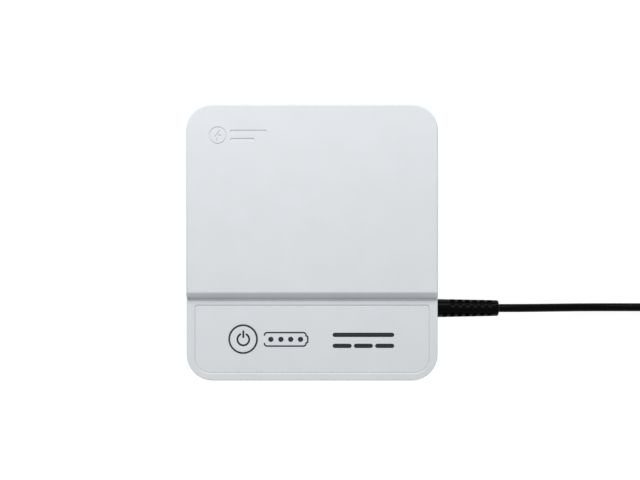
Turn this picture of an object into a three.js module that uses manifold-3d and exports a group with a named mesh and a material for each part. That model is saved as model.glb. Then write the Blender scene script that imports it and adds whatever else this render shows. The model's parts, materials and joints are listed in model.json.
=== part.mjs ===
// A small direct-current uninterruptible power supply, in millimetres.
//
// Frame: the origin is under the middle of the case, in the plane that the feet stand on. +Z points out of
// the front face, +X to the side that the output cord leaves from, and +Y away from the control panel.
// The case is two shells that meet at PARTING_Z. The control board fills the panel end, the battery pack
// fills the rest.

import * as THREE from 'three';
import { mergeVertices } from 'three/addons/utils/BufferGeometryUtils.js';
import Module from 'manifold-3d';

const wasm = await Module();
wasm.setup();

// ---------------------------------------------------------------------------------- driving dimensions

const CASE_WIDTH = 105;
const CASE_LENGTH = 115.4;
const CASE_HEIGHT = 27;
const CORNER_RADIUS = 11;
const OUTLINE_SEGMENTS = 12; // in each outer corner
const WALL = 2;
const GAP = 0.3; // clearance between separate pieces
const SEAT = 0.1; // glue, solder or contact line between a piece and what it sits on

const FOOT_PROUD = 1;
const FLOOR_Z = FOOT_PROUD + WALL; // inside face of the rear cover
const PARTING_Z = 12;

const STEP_Y = -21.05; // where the upper deck ends and slants down
const STEP_RUN = 2.05;
const LOWER_DECK_Z = 23.5;
const LOWER_CEILING_Z = 21; // inside face under the lower deck
const UPPER_CEILING_Z = CASE_HEIGHT - WALL;
const FOOT_GROOVE_WIDTH = 1; // groove along the foot of the slant, with a steep outer side
const FOOT_GROOVE_DEPTH = 0.9;
const FOOT_GROOVE_FLARE = 0.3; // run of that side for each unit of depth

const PANEL_HALF_WIDTH = 48.7;
const PANEL_TOP_Y = -26.65;
const PANEL_BOTTOM_Y = -54.2;
const PANEL_LOWER_RADIUS = 6;
const PANEL_UPPER_RADIUS = 0.8;
const PANEL_THICKNESS = 1.2;
const PANEL_GROOVE = 0.5; // visible gap all round the panel

const BUTTON = {
  x: -28.85,
  y: -40.4,
  radius: 5.85,
  proud: 0.3,
  flange: 1.2, // how far the hidden flange stands out all round
  flangeThickness: 1.3,
  stemRadius: 2.2,
};
const PLUNGER_TRAVEL = 0.5;
const LAMP_X = [-17.25, -13.05, -8.95, -4.85];
const LAMP_Y = -40.5;
const LAMP_PIN_RADIUS = 0.8;

const BOARD = { halfWidth: 48.2, yMin: -53.2, yMax: -8, lowerRadius: 6, upperRadius: 3, postClearance: 0.7 };
const BOARD_Z = 5;
const BOARD_TOP_Z = 6.6;
const PORT_Y = -27.8; // axis of the input socket and of the output cord
const PORT_Z = PARTING_Z;

const CELL_RADIUS = 9.1;
const CELL_LENGTH = 65;
const CELL_Z = 13.8;
const CELL_Y = [5.2, 24.3, 43.4];

const CASE_SCREW = { x: 44, y: 49 };
const FOOT = { x: 34, y: 49, radius: 5, height: 1.5 };
const BOARD_SCREWS = [[-34, -49.5], [40, -40], [-43, -13]];
const VENTS = { count: 7, pitch: 6, halfWidth: 0.8, yMin: -46, yMax: -30 };

const CORD_RADIUS = 1.75;
const RELIEF = {
  collarX: 48.6,
  collarRadius: 4.4,
  neckRadius: 2.6,
  rootRadius: 3.87,
  tipRadius: 3.37,
  endX: 78.95,
};
const COIL_TURN_PITCH = 3.6;
const COIL_TURNS = 3; // side by side, in each of two layers
const COIL_MEAN_RADIUS = 19.25;
const COIL_HALF_WIDTH = (COIL_TURNS * COIL_TURN_PITCH) / 2 + CORD_RADIUS;
const COIL_BOTTOM_Z = 0.9;
const COIL_HEIGHT = 2 * CORD_RADIUS + COIL_TURN_PITCH + 0.1;
const COIL_X = 170;
const COIL_OUTER_TURN = COIL_MEAN_RADIUS + (COIL_TURNS * COIL_TURN_PITCH) / 2;
const COIL_Y = PORT_Y + COIL_OUTER_TURN;
const PLUG_RADIUS = 5;
const PLUG_X = COIL_X + COIL_OUTER_TURN;
const PLUG_START_Y = COIL_Y + 25;
const PLUG_LENGTH = 24;
const BARREL_LENGTH = 9.5;

// --------------------------------------------------------------------------------------- solid helpers

// Merged vertices, no collapsed triangles, and faces that point out.
function closedMesh(geometry) {
  const bare = geometry.clone();
  bare.deleteAttribute('normal');
  bare.deleteAttribute('uv');
  const merged = mergeVertices(bare, 1e-4);
  const position = merged.getAttribute('position');
  const index = merged.getIndex().array;
  const a = new THREE.Vector3();
  const b = new THREE.Vector3();
  const c = new THREE.Vector3();
  const triangles = [];
  let volume = 0;
  for (let i = 0; i < index.length; i += 3) {
    const corners = [index[i], index[i + 1], index[i + 2]];
    if (new Set(corners).size < 3) continue;
    a.fromBufferAttribute(position, corners[0]);
    b.fromBufferAttribute(position, corners[1]);
    c.fromBufferAttribute(position, corners[2]);
    volume += a.dot(b.cross(c));
    triangles.push(corners);
  }
  if (volume < 0) triangles.forEach((corners) => corners.reverse());
  return { vertices: new Float32Array(position.array), triangles: new Uint32Array(triangles.flat()) };
}

function solid(geometry) {
  const { vertices, triangles } = closedMesh(geometry);
  return new wasm.Manifold(new wasm.Mesh({ numProp: 3, vertProperties: vertices, triVerts: triangles }));
}

function join(...geometries) {
  return geometries.map(toSolid).reduce((whole, piece) => whole.add(piece));
}

function cut(base, ...tools) {
  return tools.map(toSolid).reduce((rest, tool) => rest.subtract(tool), toSolid(base));
}

function toSolid(shape) {
  return shape.isBufferGeometry ? solid(shape) : shape;
}

function toGeometry(shape) {
  const mesh = toSolid(shape).getMesh();
  const geometry = new THREE.BufferGeometry();
  geometry.setAttribute('position', new THREE.BufferAttribute(new Float32Array(mesh.vertProperties), 3));
  geometry.setIndex(new THREE.BufferAttribute(new Uint32Array(mesh.triVerts), 1));
  geometry.computeVertexNormals();
  return geometry;
}

// -------------------------------------------------------------------------------------- shape helpers

function block(xMin, xMax, yMin, yMax, zMin, zMax) {
  const geometry = new THREE.BoxGeometry(xMax - xMin, yMax - yMin, zMax - zMin);
  return geometry.translate((xMin + xMax) / 2, (yMin + yMax) / 2, (zMin + zMax) / 2);
}

function rodZ(x, y, radius, zMin, zMax, sides = 16) {
  const geometry = new THREE.CylinderGeometry(radius, radius, zMax - zMin, sides);
  return geometry.rotateX(Math.PI / 2).translate(x, y, (zMin + zMax) / 2);
}

function rodX(xMin, xMax, radius, y, z, sides = 24) {
  const geometry = new THREE.CylinderGeometry(radius, radius, xMax - xMin, sides);
  return geometry.rotateZ(Math.PI / 2).translate((xMin + xMax) / 2, y, z);
}

// A rectangle centred on x = 0 whose two upper and two lower corners have their own radii.
function roundedShape(halfWidth, yMin, yMax, lowerRadius, upperRadius = lowerRadius) {
  const shape = new THREE.Shape();
  const quarter = Math.PI / 2;
  shape.absarc(halfWidth - upperRadius, yMax - upperRadius, upperRadius, 0, quarter);
  shape.absarc(-halfWidth + upperRadius, yMax - upperRadius, upperRadius, quarter, 2 * quarter);
  shape.absarc(-halfWidth + lowerRadius, yMin + lowerRadius, lowerRadius, 2 * quarter, 3 * quarter);
  shape.absarc(halfWidth - lowerRadius, yMin + lowerRadius, lowerRadius, 3 * quarter, 4 * quarter);
  shape.closePath();
  return shape;
}

function plate(shape, zMin, zMax, arcSegments = 6) {
  const options = { depth: zMax - zMin, bevelEnabled: false, curveSegments: arcSegments };
  return new THREE.ExtrudeGeometry(shape, options).translate(0, 0, zMin);
}

// The case outline drawn in by `inset`, between two heights.
function casePlate(inset, zMin, zMax, arcSegments = 6) {
  const halfLength = CASE_LENGTH / 2 - inset;
  const shape = roundedShape(CASE_WIDTH / 2 - inset, -halfLength, halfLength, CORNER_RADIUS - inset);
  return plate(shape, zMin, zMax, arcSegments);
}

// A [y, z] outline carried across the width from xMin to xMax.
function acrossWidth(outline, xMin, xMax) {
  const shape = new THREE.Shape(outline.map(([y, z]) => new THREE.Vector2(y, z)));
  const geometry = new THREE.ExtrudeGeometry(shape, { depth: xMax - xMin, bevelEnabled: false });
  const axes = new THREE.Matrix4().makeBasis(
    new THREE.Vector3(0, 1, 0),
    new THREE.Vector3(0, 0, 1),
    new THREE.Vector3(1, 0, 0),
  );
  return geometry.applyMatrix4(axes).translate(xMin, 0, 0);
}

// A [radius, height] profile turned about Z.
function turned(profile, sides = 16) {
  const points = profile.map(([radius, height]) => new THREE.Vector2(radius, height));
  return new THREE.LatheGeometry(points, sides).rotateX(Math.PI / 2);
}

function tube(points, radius, steps, sides = 8) {
  const path = new THREE.CatmullRomCurve3(points.map(([x, y, z]) => new THREE.Vector3(x, y, z)));
  const section = new THREE.Shape();
  for (let i = 0; i < sides; i++) {
    const angle = (i / sides) * 2 * Math.PI;
    const x = radius * Math.cos(angle);
    const y = radius * Math.sin(angle);
    if (i === 0) section.moveTo(x, y);
    else section.lineTo(x, y);
  }
  section.closePath();
  return new THREE.ExtrudeGeometry(section, { steps, extrudePath: path, bevelEnabled: false });
}

function finish(color, roughness, metalness = 0) {
  return new THREE.MeshStandardMaterial({ color, roughness, metalness });
}

function add(parent, name, shape, material, position = [0, 0, 0]) {
  const mesh = new THREE.Mesh(toGeometry(shape), material);
  mesh.name = name;
  mesh.position.set(...position);
  parent.add(mesh);
  return mesh;
}

const WHITE_PLASTIC = [0xdde1e4, 0.55];
const BLACK_PLASTIC = [0x151617, 0.45];
const BLACK_RUBBER = [0x1a1b1c, 0.6];
const NICKEL = [0xc9cbc8, 0.3, 1];
const STEEL = [0xa9acae, 0.35, 1];
const BOARD_GREEN = [0x1d5a38, 0.5];
const ALUMINIUM = [0xb9bcc0, 0.4, 1];
const FERRITE = [0x3c3e42, 0.7];
const CAPACITOR_BLUE = [0x23304a, 0.35];
const CHIP_RESIN = [0x202124, 0.6];
const FUSE_GLASS = [0xd8dcd8, 0.1];
const CONNECTOR = [0xe8e4d8, 0.5];
const LAMP_LENS = [0xe9e4c8, 0.3];
const SMOKED_PLASTIC = [0x3a4350, 0.15];
const TRAY_PLASTIC = [0x2a2c2f, 0.6];
const CELL_WRAP = [0x2f7fa8, 0.4];
const LABEL_FILM = [0xeceef0, 0.5];
const RED_INSULATION = [0xb3211c, 0.5];
const DARK_FOAM = [0x3b3d40, 0.95];

// ------------------------------------------------------------------------------------------ enclosure

const CASE_SCREW_PLACES = [[1, 1], [-1, 1], [-1, -1], [1, -1]].map(([sx, sy]) => [
  sx * CASE_SCREW.x,
  sy * CASE_SCREW.y,
]);
const FOOT_PLACES = [[1, 1], [-1, 1], [-1, -1], [1, -1]].map(([sx, sy]) => [sx * FOOT.x, sy * FOOT.y]);

const CASE_SCREW_SHANK_RADIUS = 1.3;
const CASE_SCREW_HEAD_RADIUS = 2.5;
const CASE_SCREW_HEAD_Z = [2.2, 4.2];
const CASE_SCREW_TOP_Z = 18.5;
const CASE_SCREW_CROSS = { reach: 1.5, halfWidth: 0.35, depth: 0.9 };
const BOARD_SCREW_SHANK_RADIUS = 1.1;

const CASE_POST_RADIUS = 3.6;
const BOARD_POST_RADIUS = 2.8;
const POST_ROOT = 0.5; // how far a post runs into the wall that it stands on
const JACK_NOSE_RADIUS = 4.3;

function wallHoles() {
  const outside = CASE_WIDTH / 2 + 1;
  const inside = CASE_WIDTH / 2 - WALL - 1;
  return [
    rodX(inside, outside, RELIEF.neckRadius + GAP, PORT_Y, PORT_Z, 20),
    rodX(-outside, -inside, JACK_NOSE_RADIUS + GAP, PORT_Y, PORT_Z, 24),
  ];
}

// Space of the upper shell: high under the upper deck, lower under the panel end.
function frontCavity() {
  const slope = STEP_RUN / (CASE_HEIGHT - LOWER_DECK_Z);
  const stepInside = STEP_Y + WALL;
  const stepFootInside = stepInside - slope * (UPPER_CEILING_Z - LOWER_CEILING_Z);
  const end = CASE_LENGTH / 2;
  const outline = [
    [-end, 0],
    [end, 0],
    [end, UPPER_CEILING_Z],
    [stepInside, UPPER_CEILING_Z],
    [stepFootInside, LOWER_CEILING_Z],
    [-end, LOWER_CEILING_Z],
  ];
  const room = toSolid(casePlate(WALL, PARTING_Z - 1, UPPER_CEILING_Z + 1));
  return room.intersect(toSolid(acrossWidth(outline, -CASE_WIDTH / 2, CASE_WIDTH / 2)));
}

// Everything taken off above the lower deck, with the fine groove at the foot of the slant.
function stepCut() {
  const slope = STEP_RUN / (CASE_HEIGHT - LOWER_DECK_Z);
  const above = 1;
  const grooveZ = LOWER_DECK_Z - FOOT_GROOVE_DEPTH;
  const footY = STEP_Y - STEP_RUN;
  const outline = [
    [STEP_Y + slope * above, CASE_HEIGHT + above],
    [footY, LOWER_DECK_Z],
    [footY, grooveZ],
    [footY - FOOT_GROOVE_WIDTH, grooveZ],
    [footY - FOOT_GROOVE_WIDTH - FOOT_GROOVE_FLARE * FOOT_GROOVE_DEPTH, LOWER_DECK_Z],
    [-CASE_LENGTH, LOWER_DECK_Z],
    [-CASE_LENGTH, CASE_HEIGHT + above],
  ];
  return acrossWidth(outline, -CASE_WIDTH, CASE_WIDTH);
}

function panelShape(grow) {
  return roundedShape(
    PANEL_HALF_WIDTH + grow,
    PANEL_BOTTOM_Y - grow,
    PANEL_TOP_Y + grow,
    PANEL_LOWER_RADIUS + grow,
    PANEL_UPPER_RADIUS + grow,
  );
}

function controlHoles(zMin, zMax) {
  const lampHoles = LAMP_X.map((x) => rodZ(x, LAMP_Y, LAMP_PIN_RADIUS + GAP, zMin, zMax, 12));
  return [rodZ(BUTTON.x, BUTTON.y, BUTTON.radius + GAP, zMin, zMax, 32), ...lampHoles];
}

function frontCover() {
  const pilotTopZ = CASE_SCREW_TOP_Z + 0.7;
  const bottomZ = PARTING_Z + GAP / 2;
  const panelFloorZ = LOWER_DECK_Z - PANEL_THICKNESS - GAP;
  const shell = cut(casePlate(0, bottomZ, CASE_HEIGHT, OUTLINE_SEGMENTS), stepCut(), frontCavity());
  const posts = CASE_SCREW_PLACES.map(([x, y]) => {
    const ceiling = y > 0 ? UPPER_CEILING_Z : LOWER_CEILING_Z;
    return rodZ(x, y, CASE_POST_RADIUS, bottomZ, ceiling + POST_ROOT);
  });
  const pilots = CASE_SCREW_PLACES.map(([x, y]) => {
    return rodZ(x, y, CASE_SCREW_SHANK_RADIUS + GAP, PARTING_Z - 1, pilotTopZ);
  });
  const pocket = plate(panelShape(PANEL_GROOVE), panelFloorZ, CASE_HEIGHT);
  return cut(join(shell, ...posts), ...pilots, pocket, ...controlHoles(LOWER_CEILING_Z - 2, CASE_HEIGHT),
    ...wallHoles());
}

// Tongue that stands inside the front cover's rim, so that nothing shows through the parting line.
function rimTongue() {
  const thickness = 1;
  const rootZ = 9.5;
  const topZ = PARTING_Z + 1.5;
  const outerInset = WALL + GAP;
  const root = casePlate(WALL - 0.5, rootZ, PARTING_Z - GAP / 2);
  const tongue = casePlate(outerInset, rootZ, topZ);
  const inside = casePlate(outerInset + thickness, rootZ - 1, topZ + 1);
  const halfNotch = 5.4;
  const reach = CASE_WIDTH / 2;
  const notches = [-1, 1].map((side) => {
    const xMin = side < 0 ? -reach + WALL : reach - WALL - 2;
    return block(xMin, xMin + 2, PORT_Y - halfNotch, PORT_Y + halfNotch, rootZ - 1, topZ + 1);
  });
  return cut(join(root, tongue), inside, ...notches);
}

const LABEL = { halfWidth: 30, halfLength: 17, cornerRadius: 2, thickness: 0.3, recess: 0.5 };

function labelShape(grow) {
  const halfLength = LABEL.halfLength + grow;
  return roundedShape(LABEL.halfWidth + grow, -halfLength, halfLength, LABEL.cornerRadius + grow);
}

function rearCover() {
  const topZ = PARTING_Z - GAP / 2;
  const shell = cut(casePlate(0, FOOT_PROUD, topZ, OUTLINE_SEGMENTS), casePlate(WALL, FLOOR_Z, topZ + 1));
  const posts = CASE_SCREW_PLACES.map(([x, y]) => rodZ(x, y, CASE_POST_RADIUS, FLOOR_Z - POST_ROOT, topZ));
  const boardPosts = BOARD_SCREWS.map(([x, y]) => {
    return rodZ(x, y, BOARD_POST_RADIUS, FLOOR_Z - POST_ROOT, BOARD_Z - SEAT);
  });
  const headWells = CASE_SCREW_PLACES.map(([x, y]) => {
    return rodZ(x, y, CASE_SCREW_HEAD_RADIUS + 0.4, 0, CASE_SCREW_HEAD_Z[1] + GAP);
  });
  const shankHoles = CASE_SCREW_PLACES.map(([x, y]) => {
    return rodZ(x, y, CASE_SCREW_SHANK_RADIUS + GAP, 0, topZ + 1);
  });
  const boardPilots = BOARD_SCREWS.map(([x, y]) => {
    return rodZ(x, y, BOARD_SCREW_SHANK_RADIUS + GAP, FLOOR_Z, BOARD_Z + 1);
  });
  const footWells = FOOT_PLACES.map(([x, y]) => {
    return rodZ(x, y, FOOT.radius + GAP, 0, FOOT.height + SEAT, 24);
  });
  const labelRecess = plate(labelShape(GAP), 0, FOOT_PROUD + LABEL.recess, 3);
  return cut(join(shell, rimTongue(), ...posts, ...boardPosts), ...headWells, ...shankHoles, ...boardPilots,
    ...footWells, labelRecess, ...ventSlots(), ...wallHoles());
}

function ventSlots() {
  const slot = roundedShape(VENTS.halfWidth, VENTS.yMin, VENTS.yMax, VENTS.halfWidth - 0.01);
  return Array.from({ length: VENTS.count }, (_, i) => {
    const x = (i - (VENTS.count - 1) / 2) * VENTS.pitch;
    return plate(slot, 0, FLOOR_Z + 1, 2).translate(x, 0, 0);
  });
}

function caseScrew() {
  const [headLow, headHigh] = CASE_SCREW_HEAD_Z;
  const { reach, halfWidth, depth } = CASE_SCREW_CROSS;
  const head = rodZ(0, 0, CASE_SCREW_HEAD_RADIUS, headLow, headHigh);
  const shank = rodZ(0, 0, CASE_SCREW_SHANK_RADIUS, headHigh - 0.5, CASE_SCREW_TOP_Z, 10);
  const cross = [
    block(-reach, reach, -halfWidth, halfWidth, headLow - 1, headLow + depth),
    block(-halfWidth, halfWidth, -reach, reach, headLow - 1, headLow + depth),
  ];
  return cut(join(head, shank), ...cross);
}

function rubberFoot() {
  const { radius, height } = FOOT;
  const chamfer = 0.4;
  return turned([[0, 0], [radius - chamfer, 0], [radius, chamfer], [radius, height], [0, height]], 24);
}

function ratingLabel() {
  const topZ = FOOT_PROUD + LABEL.recess - SEAT;
  return plate(labelShape(0), topZ - LABEL.thickness, topZ, 3);
}

function buildEnclosure() {
  const group = new THREE.Group();
  add(group, 'front_cover', frontCover(), finish(...WHITE_PLASTIC));
  add(group, 'rear_cover', rearCover(), finish(...WHITE_PLASTIC));
  add(group, 'rating_label', ratingLabel(), finish(...LABEL_FILM));
  CASE_SCREW_PLACES.forEach(([x, y], i) => {
    add(group, `case_screw_${i + 1}`, caseScrew(), finish(...STEEL), [x, y, 0]);
  });
  FOOT_PLACES.forEach(([x, y], i) => {
    add(group, `rubber_foot_${i + 1}`, rubberFoot(), finish(...BLACK_RUBBER), [x, y, 0]);
  });
  return group;
}

// ------------------------------------------------------------------------------------------- controls

const SWITCH_TOP_Z = 10.5;
const PLUNGER_RADIUS = 1.6;
const PLUNGER_Z = [9, 12];
const GUIDE = {
  barThickness: 1.8,
  halfDepth: 1.5,
  endMargin: 1.9,
  legRadius: 1,
  legBottomZ: 8.6,
  overlap: 0.5, // of pins and legs with the bar
};
const LAMP = { halfWidth: 1, halfDepth: 0.8, height: 1.4 };

function controlPanel() {
  const sheet = plate(panelShape(0), LOWER_DECK_Z - PANEL_THICKNESS, LOWER_DECK_Z);
  return cut(sheet, ...controlHoles(0, CASE_HEIGHT));
}

// Cap through the panel, a flange that keeps it in, and a stem down to the switch.
function powerButton() {
  const topZ = LOWER_DECK_Z + BUTTON.proud;
  const stemZ = PLUNGER_Z[1] + SEAT;
  const flangeTopZ = LOWER_CEILING_Z - GAP;
  const flangeZ = flangeTopZ - BUTTON.flangeThickness;
  const flangeRadius = BUTTON.radius + BUTTON.flange;
  return turned([
    [0, stemZ],
    [BUTTON.stemRadius, stemZ],
    [BUTTON.stemRadius, flangeZ],
    [flangeRadius, flangeZ],
    [flangeRadius, flangeTopZ],
    [BUTTON.radius, flangeTopZ],
    [BUTTON.radius, topZ],
    [0, topZ],
  ], 32);
}

function tactileSwitch() {
  const half = 3;
  const wellZ = PLUNGER_Z[0] - PLUNGER_TRAVEL - GAP;
  const body = block(-half, half, -half, half, BOARD_TOP_Z + SEAT, SWITCH_TOP_Z);
  return cut(body, rodZ(0, 0, PLUNGER_RADIUS + GAP, wellZ, SWITCH_TOP_Z + 1, 16));
}

// One clear moulding: a bar under the deck, a pin up to each lamp window, a leg down to each lamp.
function lightGuide() {
  const { barThickness, halfDepth, endMargin, legRadius, legBottomZ, overlap } = GUIDE;
  const barTopZ = LOWER_CEILING_Z - GAP;
  const barZ = barTopZ - barThickness;
  const pinTopZ = LOWER_DECK_Z - 0.05;
  const bar = block(LAMP_X[0] - endMargin, LAMP_X[3] + endMargin, LAMP_Y - halfDepth, LAMP_Y + halfDepth,
    barZ, barTopZ);
  const pins = LAMP_X.map((x) => rodZ(x, LAMP_Y, LAMP_PIN_RADIUS, barTopZ - overlap, pinTopZ, 12));
  const legs = LAMP_X.map((x) => rodZ(x, LAMP_Y, legRadius, legBottomZ, barZ + overlap, 8));
  return join(bar, ...pins, ...legs);
}

function buildControls() {
  const group = new THREE.Group();
  add(group, 'control_panel', controlPanel(), finish(...WHITE_PLASTIC));
  add(group, 'power_button', powerButton(), finish(...WHITE_PLASTIC), [BUTTON.x, BUTTON.y, 0]);
  const plunger = rodZ(0, 0, PLUNGER_RADIUS, ...PLUNGER_Z, 16);
  add(group, 'switch_plunger', plunger, finish(...BLACK_PLASTIC), [BUTTON.x, BUTTON.y, 0]);
  add(group, 'tactile_switch', tactileSwitch(), finish(...BLACK_PLASTIC), [BUTTON.x, BUTTON.y, 0]);
  add(group, 'light_guide', lightGuide(), finish(...SMOKED_PLASTIC));
  LAMP_X.forEach((x, i) => {
    const lamp = block(-LAMP.halfWidth, LAMP.halfWidth, -LAMP.halfDepth, LAMP.halfDepth, 0, LAMP.height);
    add(group, `led_${i + 1}`, lamp, finish(...LAMP_LENS), [x, LAMP_Y, BOARD_TOP_Z + SEAT]);
  });
  return group;
}

// ---------------------------------------------------------------------------------------- electronics

const JACK_FACE_X = -CASE_WIDTH / 2 + GAP;
const JACK_SOCKET_END_X = -41.5;
const JACK_BODY_END_X = -38.2;
const SOCKET_RADIUS = 3.2;
const JACK_PIN_RADIUS = 1.05;
const JACK_PIN_X = [-47.8, -39.8];
const JACK_BODY = { halfWidth: 4.6, topZ: 16.9 };
const CHIP_HEIGHT = 1.2;
const FUSE_RADIUS = 2.6;

// Middles of the parts on the board.
const INDUCTOR_PLACES = [[-22, -18], [-5, -18]];
const CAPACITOR_PLACES = [[25, -33], [-34, -16]];
const CONTROLLER_PLACE = [8, -33];
const CHARGER_PLACE = [-8, -30];
const BUZZER_PLACE = [28, -46];
const FUSE_PLACE = [-12, -49];
const BATTERY_HEADER_PLACE = [19, -17.2];
const OUTPUT_HEADER_PLACE = [41, PORT_Y];

function mainBoard() {
  const { halfWidth, yMin, yMax, lowerRadius, upperRadius, postClearance } = BOARD;
  const above = BOARD_TOP_Z + 1;
  const sheet = plate(roundedShape(halfWidth, yMin, yMax, lowerRadius, upperRadius), BOARD_Z, BOARD_TOP_Z, 4);
  const postCuts = [-1, 1].map((side) => {
    return rodZ(side * CASE_SCREW.x, -CASE_SCREW.y, CASE_POST_RADIUS + postClearance, 0, above);
  });
  const screwHoles = BOARD_SCREWS.map(([x, y]) => rodZ(x, y, BOARD_SCREW_SHANK_RADIUS + GAP, 0, above, 16));
  return cut(sheet, ...postCuts, ...screwHoles);
}

function dcInputJack() {
  const { halfWidth, topZ } = JACK_BODY;
  const bodyX = -CASE_WIDTH / 2 + WALL + GAP;
  const body = block(bodyX, JACK_BODY_END_X, PORT_Y - halfWidth, PORT_Y + halfWidth,
    BOARD_TOP_Z + SEAT, topZ);
  const nose = rodX(JACK_FACE_X, bodyX + 1, JACK_NOSE_RADIUS, PORT_Y, PORT_Z, 24);
  const socket = rodX(JACK_FACE_X - 1, JACK_SOCKET_END_X, SOCKET_RADIUS, PORT_Y, PORT_Z, 20);
  const pinSeat = rodX(JACK_SOCKET_END_X - 1, JACK_PIN_X[1] + GAP, JACK_PIN_RADIUS + GAP, PORT_Y, PORT_Z, 12);
  return cut(join(body, nose), socket, pinSeat);
}

function inductor() {
  const half = 6.2;
  const bodyHeight = 7;
  const windingRadius = 4.6;
  const body = plate(roundedShape(half, -half, half, 1.8), 0, bodyHeight, 3);
  return join(body, rodZ(0, 0, windingRadius, bodyHeight - 0.5, bodyHeight + 0.5));
}

function capacitor() {
  const radius = 4;
  const height = 11.5;
  const crimpZ = 2.1;
  const crimp = 0.4;
  return turned([
    [0, 0],
    [radius, 0],
    [radius, crimpZ - 0.5],
    [radius - crimp, crimpZ],
    [radius, crimpZ + 0.5],
    [radius, height - crimp],
    [radius - crimp, height],
    [0, height],
  ]);
}

function heatSink() {
  const fins = 6;
  const pitch = 2.4;
  const halfSlot = 0.8;
  const halfWidth = 6.8;
  const halfDepth = 5;
  const baseHeight = 1.5;
  const height = 7;
  const slots = Array.from({ length: fins - 1 }, (_, i) => {
    const x = (i - (fins - 2) / 2) * pitch;
    return block(x - halfSlot, x + halfSlot, -halfDepth - 1, halfDepth + 1, baseHeight, height + 1);
  });
  return cut(block(-halfWidth, halfWidth, -halfDepth, halfDepth, 0, height), ...slots);
}

function buzzer() {
  const height = 8.5;
  const soundHoleRadius = 1;
  return cut(rodZ(0, 0, 6, 0, height, 24), rodZ(0, 0, soundHoleRadius, height - 1.5, height + 1, 8));
}

function chip(halfWidth, halfDepth) {
  return block(-halfWidth, halfWidth, -halfDepth, halfDepth, 0, CHIP_HEIGHT);
}

function glassFuse() {
  const half = 7.5;
  const glassRadius = 2.2;
  const capLength = 4;
  const profile = [
    [0, -half],
    [FUSE_RADIUS, -half],
    [FUSE_RADIUS, -half + capLength],
    [glassRadius, -half + capLength],
    [glassRadius, half - capLength],
    [FUSE_RADIUS, half - capLength],
    [FUSE_RADIUS, half],
    [0, half],
  ];
  return turned(profile, 14).rotateY(Math.PI / 2);
}

// Open-fronted connector housing with a wall all round.
function pinHeader(width, depth, height) {
  const wall = 1;
  const back = 1.4;
  const floor = 1.2;
  const body = block(-width / 2, width / 2, -depth / 2, depth / 2, 0, height);
  const room = block(-width / 2 + wall, width / 2 - wall, -depth / 2 + back, depth, floor, height - wall);
  return cut(body, room);
}

function boardScrew() {
  const headZ = BOARD_TOP_Z + SEAT;
  const rimZ = headZ + 0.8;
  const topZ = headZ + 1.5;
  const reach = 1.2;
  const halfSlot = 0.3;
  const head = turned([[0, headZ], [2.3, headZ], [2.3, rimZ], [1.5, topZ], [0, topZ]], 12);
  const shank = rodZ(0, 0, BOARD_SCREW_SHANK_RADIUS, FLOOR_Z + 0.5, headZ + 0.5, 8);
  const cross = [
    block(-reach, reach, -halfSlot, halfSlot, rimZ, topZ + 1),
    block(-halfSlot, halfSlot, -reach, reach, rimZ, topZ + 1),
  ];
  return cut(join(head, shank), ...cross);
}

function buildElectronics() {
  const group = new THREE.Group();
  const seatZ = BOARD_TOP_Z + SEAT;
  add(group, 'main_board', mainBoard(), finish(...BOARD_GREEN));
  add(group, 'dc_input_jack', dcInputJack(), finish(...BLACK_PLASTIC));
  add(group, 'dc_jack_pin', rodX(...JACK_PIN_X, JACK_PIN_RADIUS, PORT_Y, PORT_Z, 12), finish(...NICKEL));
  INDUCTOR_PLACES.forEach((place, i) => {
    add(group, `inductor_${i + 1}`, inductor(), finish(...FERRITE), [...place, seatZ]);
  });
  CAPACITOR_PLACES.forEach((place, i) => {
    add(group, `capacitor_${i + 1}`, capacitor(), finish(...CAPACITOR_BLUE), [...place, seatZ]);
  });
  add(group, 'controller_chip', chip(4, 4), finish(...CHIP_RESIN), [...CONTROLLER_PLACE, seatZ]);
  add(group, 'heat_sink', heatSink(), finish(...ALUMINIUM),
    [...CONTROLLER_PLACE, seatZ + CHIP_HEIGHT + SEAT]);
  add(group, 'charger_chip', chip(3, 2.5), finish(...CHIP_RESIN), [...CHARGER_PLACE, seatZ]);
  add(group, 'buzzer', buzzer(), finish(...BLACK_PLASTIC), [...BUZZER_PLACE, seatZ]);
  add(group, 'fuse', glassFuse(), finish(...FUSE_GLASS), [...FUSE_PLACE, seatZ + FUSE_RADIUS + SEAT]);
  add(group, 'battery_header', pinHeader(10, 5.5, 6), finish(...CONNECTOR), [...BATTERY_HEADER_PLACE, seatZ]);
  const outputHeader = add(group, 'output_header', pinHeader(6.6, 6, 6.3), finish(...CONNECTOR),
    [...OUTPUT_HEADER_PLACE, seatZ]);
  outputHeader.rotation.z = -Math.PI / 2;
  BOARD_SCREWS.forEach(([x, y], i) => {
    add(group, `board_screw_${i + 1}`, boardScrew(), finish(...STEEL), [x, y, 0]);
  });
  return group;
}

// --------------------------------------------------------------------------------------- battery pack

const TRAY = { halfWidth: 35.2, yMin: -5.2, yMax: 53.8, floorZ: 3.1, wallZ: 11, wall: 1 };
const STRIP_THICKNESS = 0.3;
const PROTECTION_BOARD = { xMin: 36, xMax: 37.2, yMin: 0, yMax: 50, zMin: 9, zMax: 21 };
const PROTECTION_PARTS_Y = [8, 18, 30];
const LEAD_RADIUS = 0.8;
const BATTERY_PLUG = { xMin: 14.6, xMax: 23.4, yMin: -14.1, yMax: -9.6, zMin: 7.4, zMax: 12 };
const FOAM = { halfWidth: 28, yMin: -2, yMax: 50, zMin: 23.2 };

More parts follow.
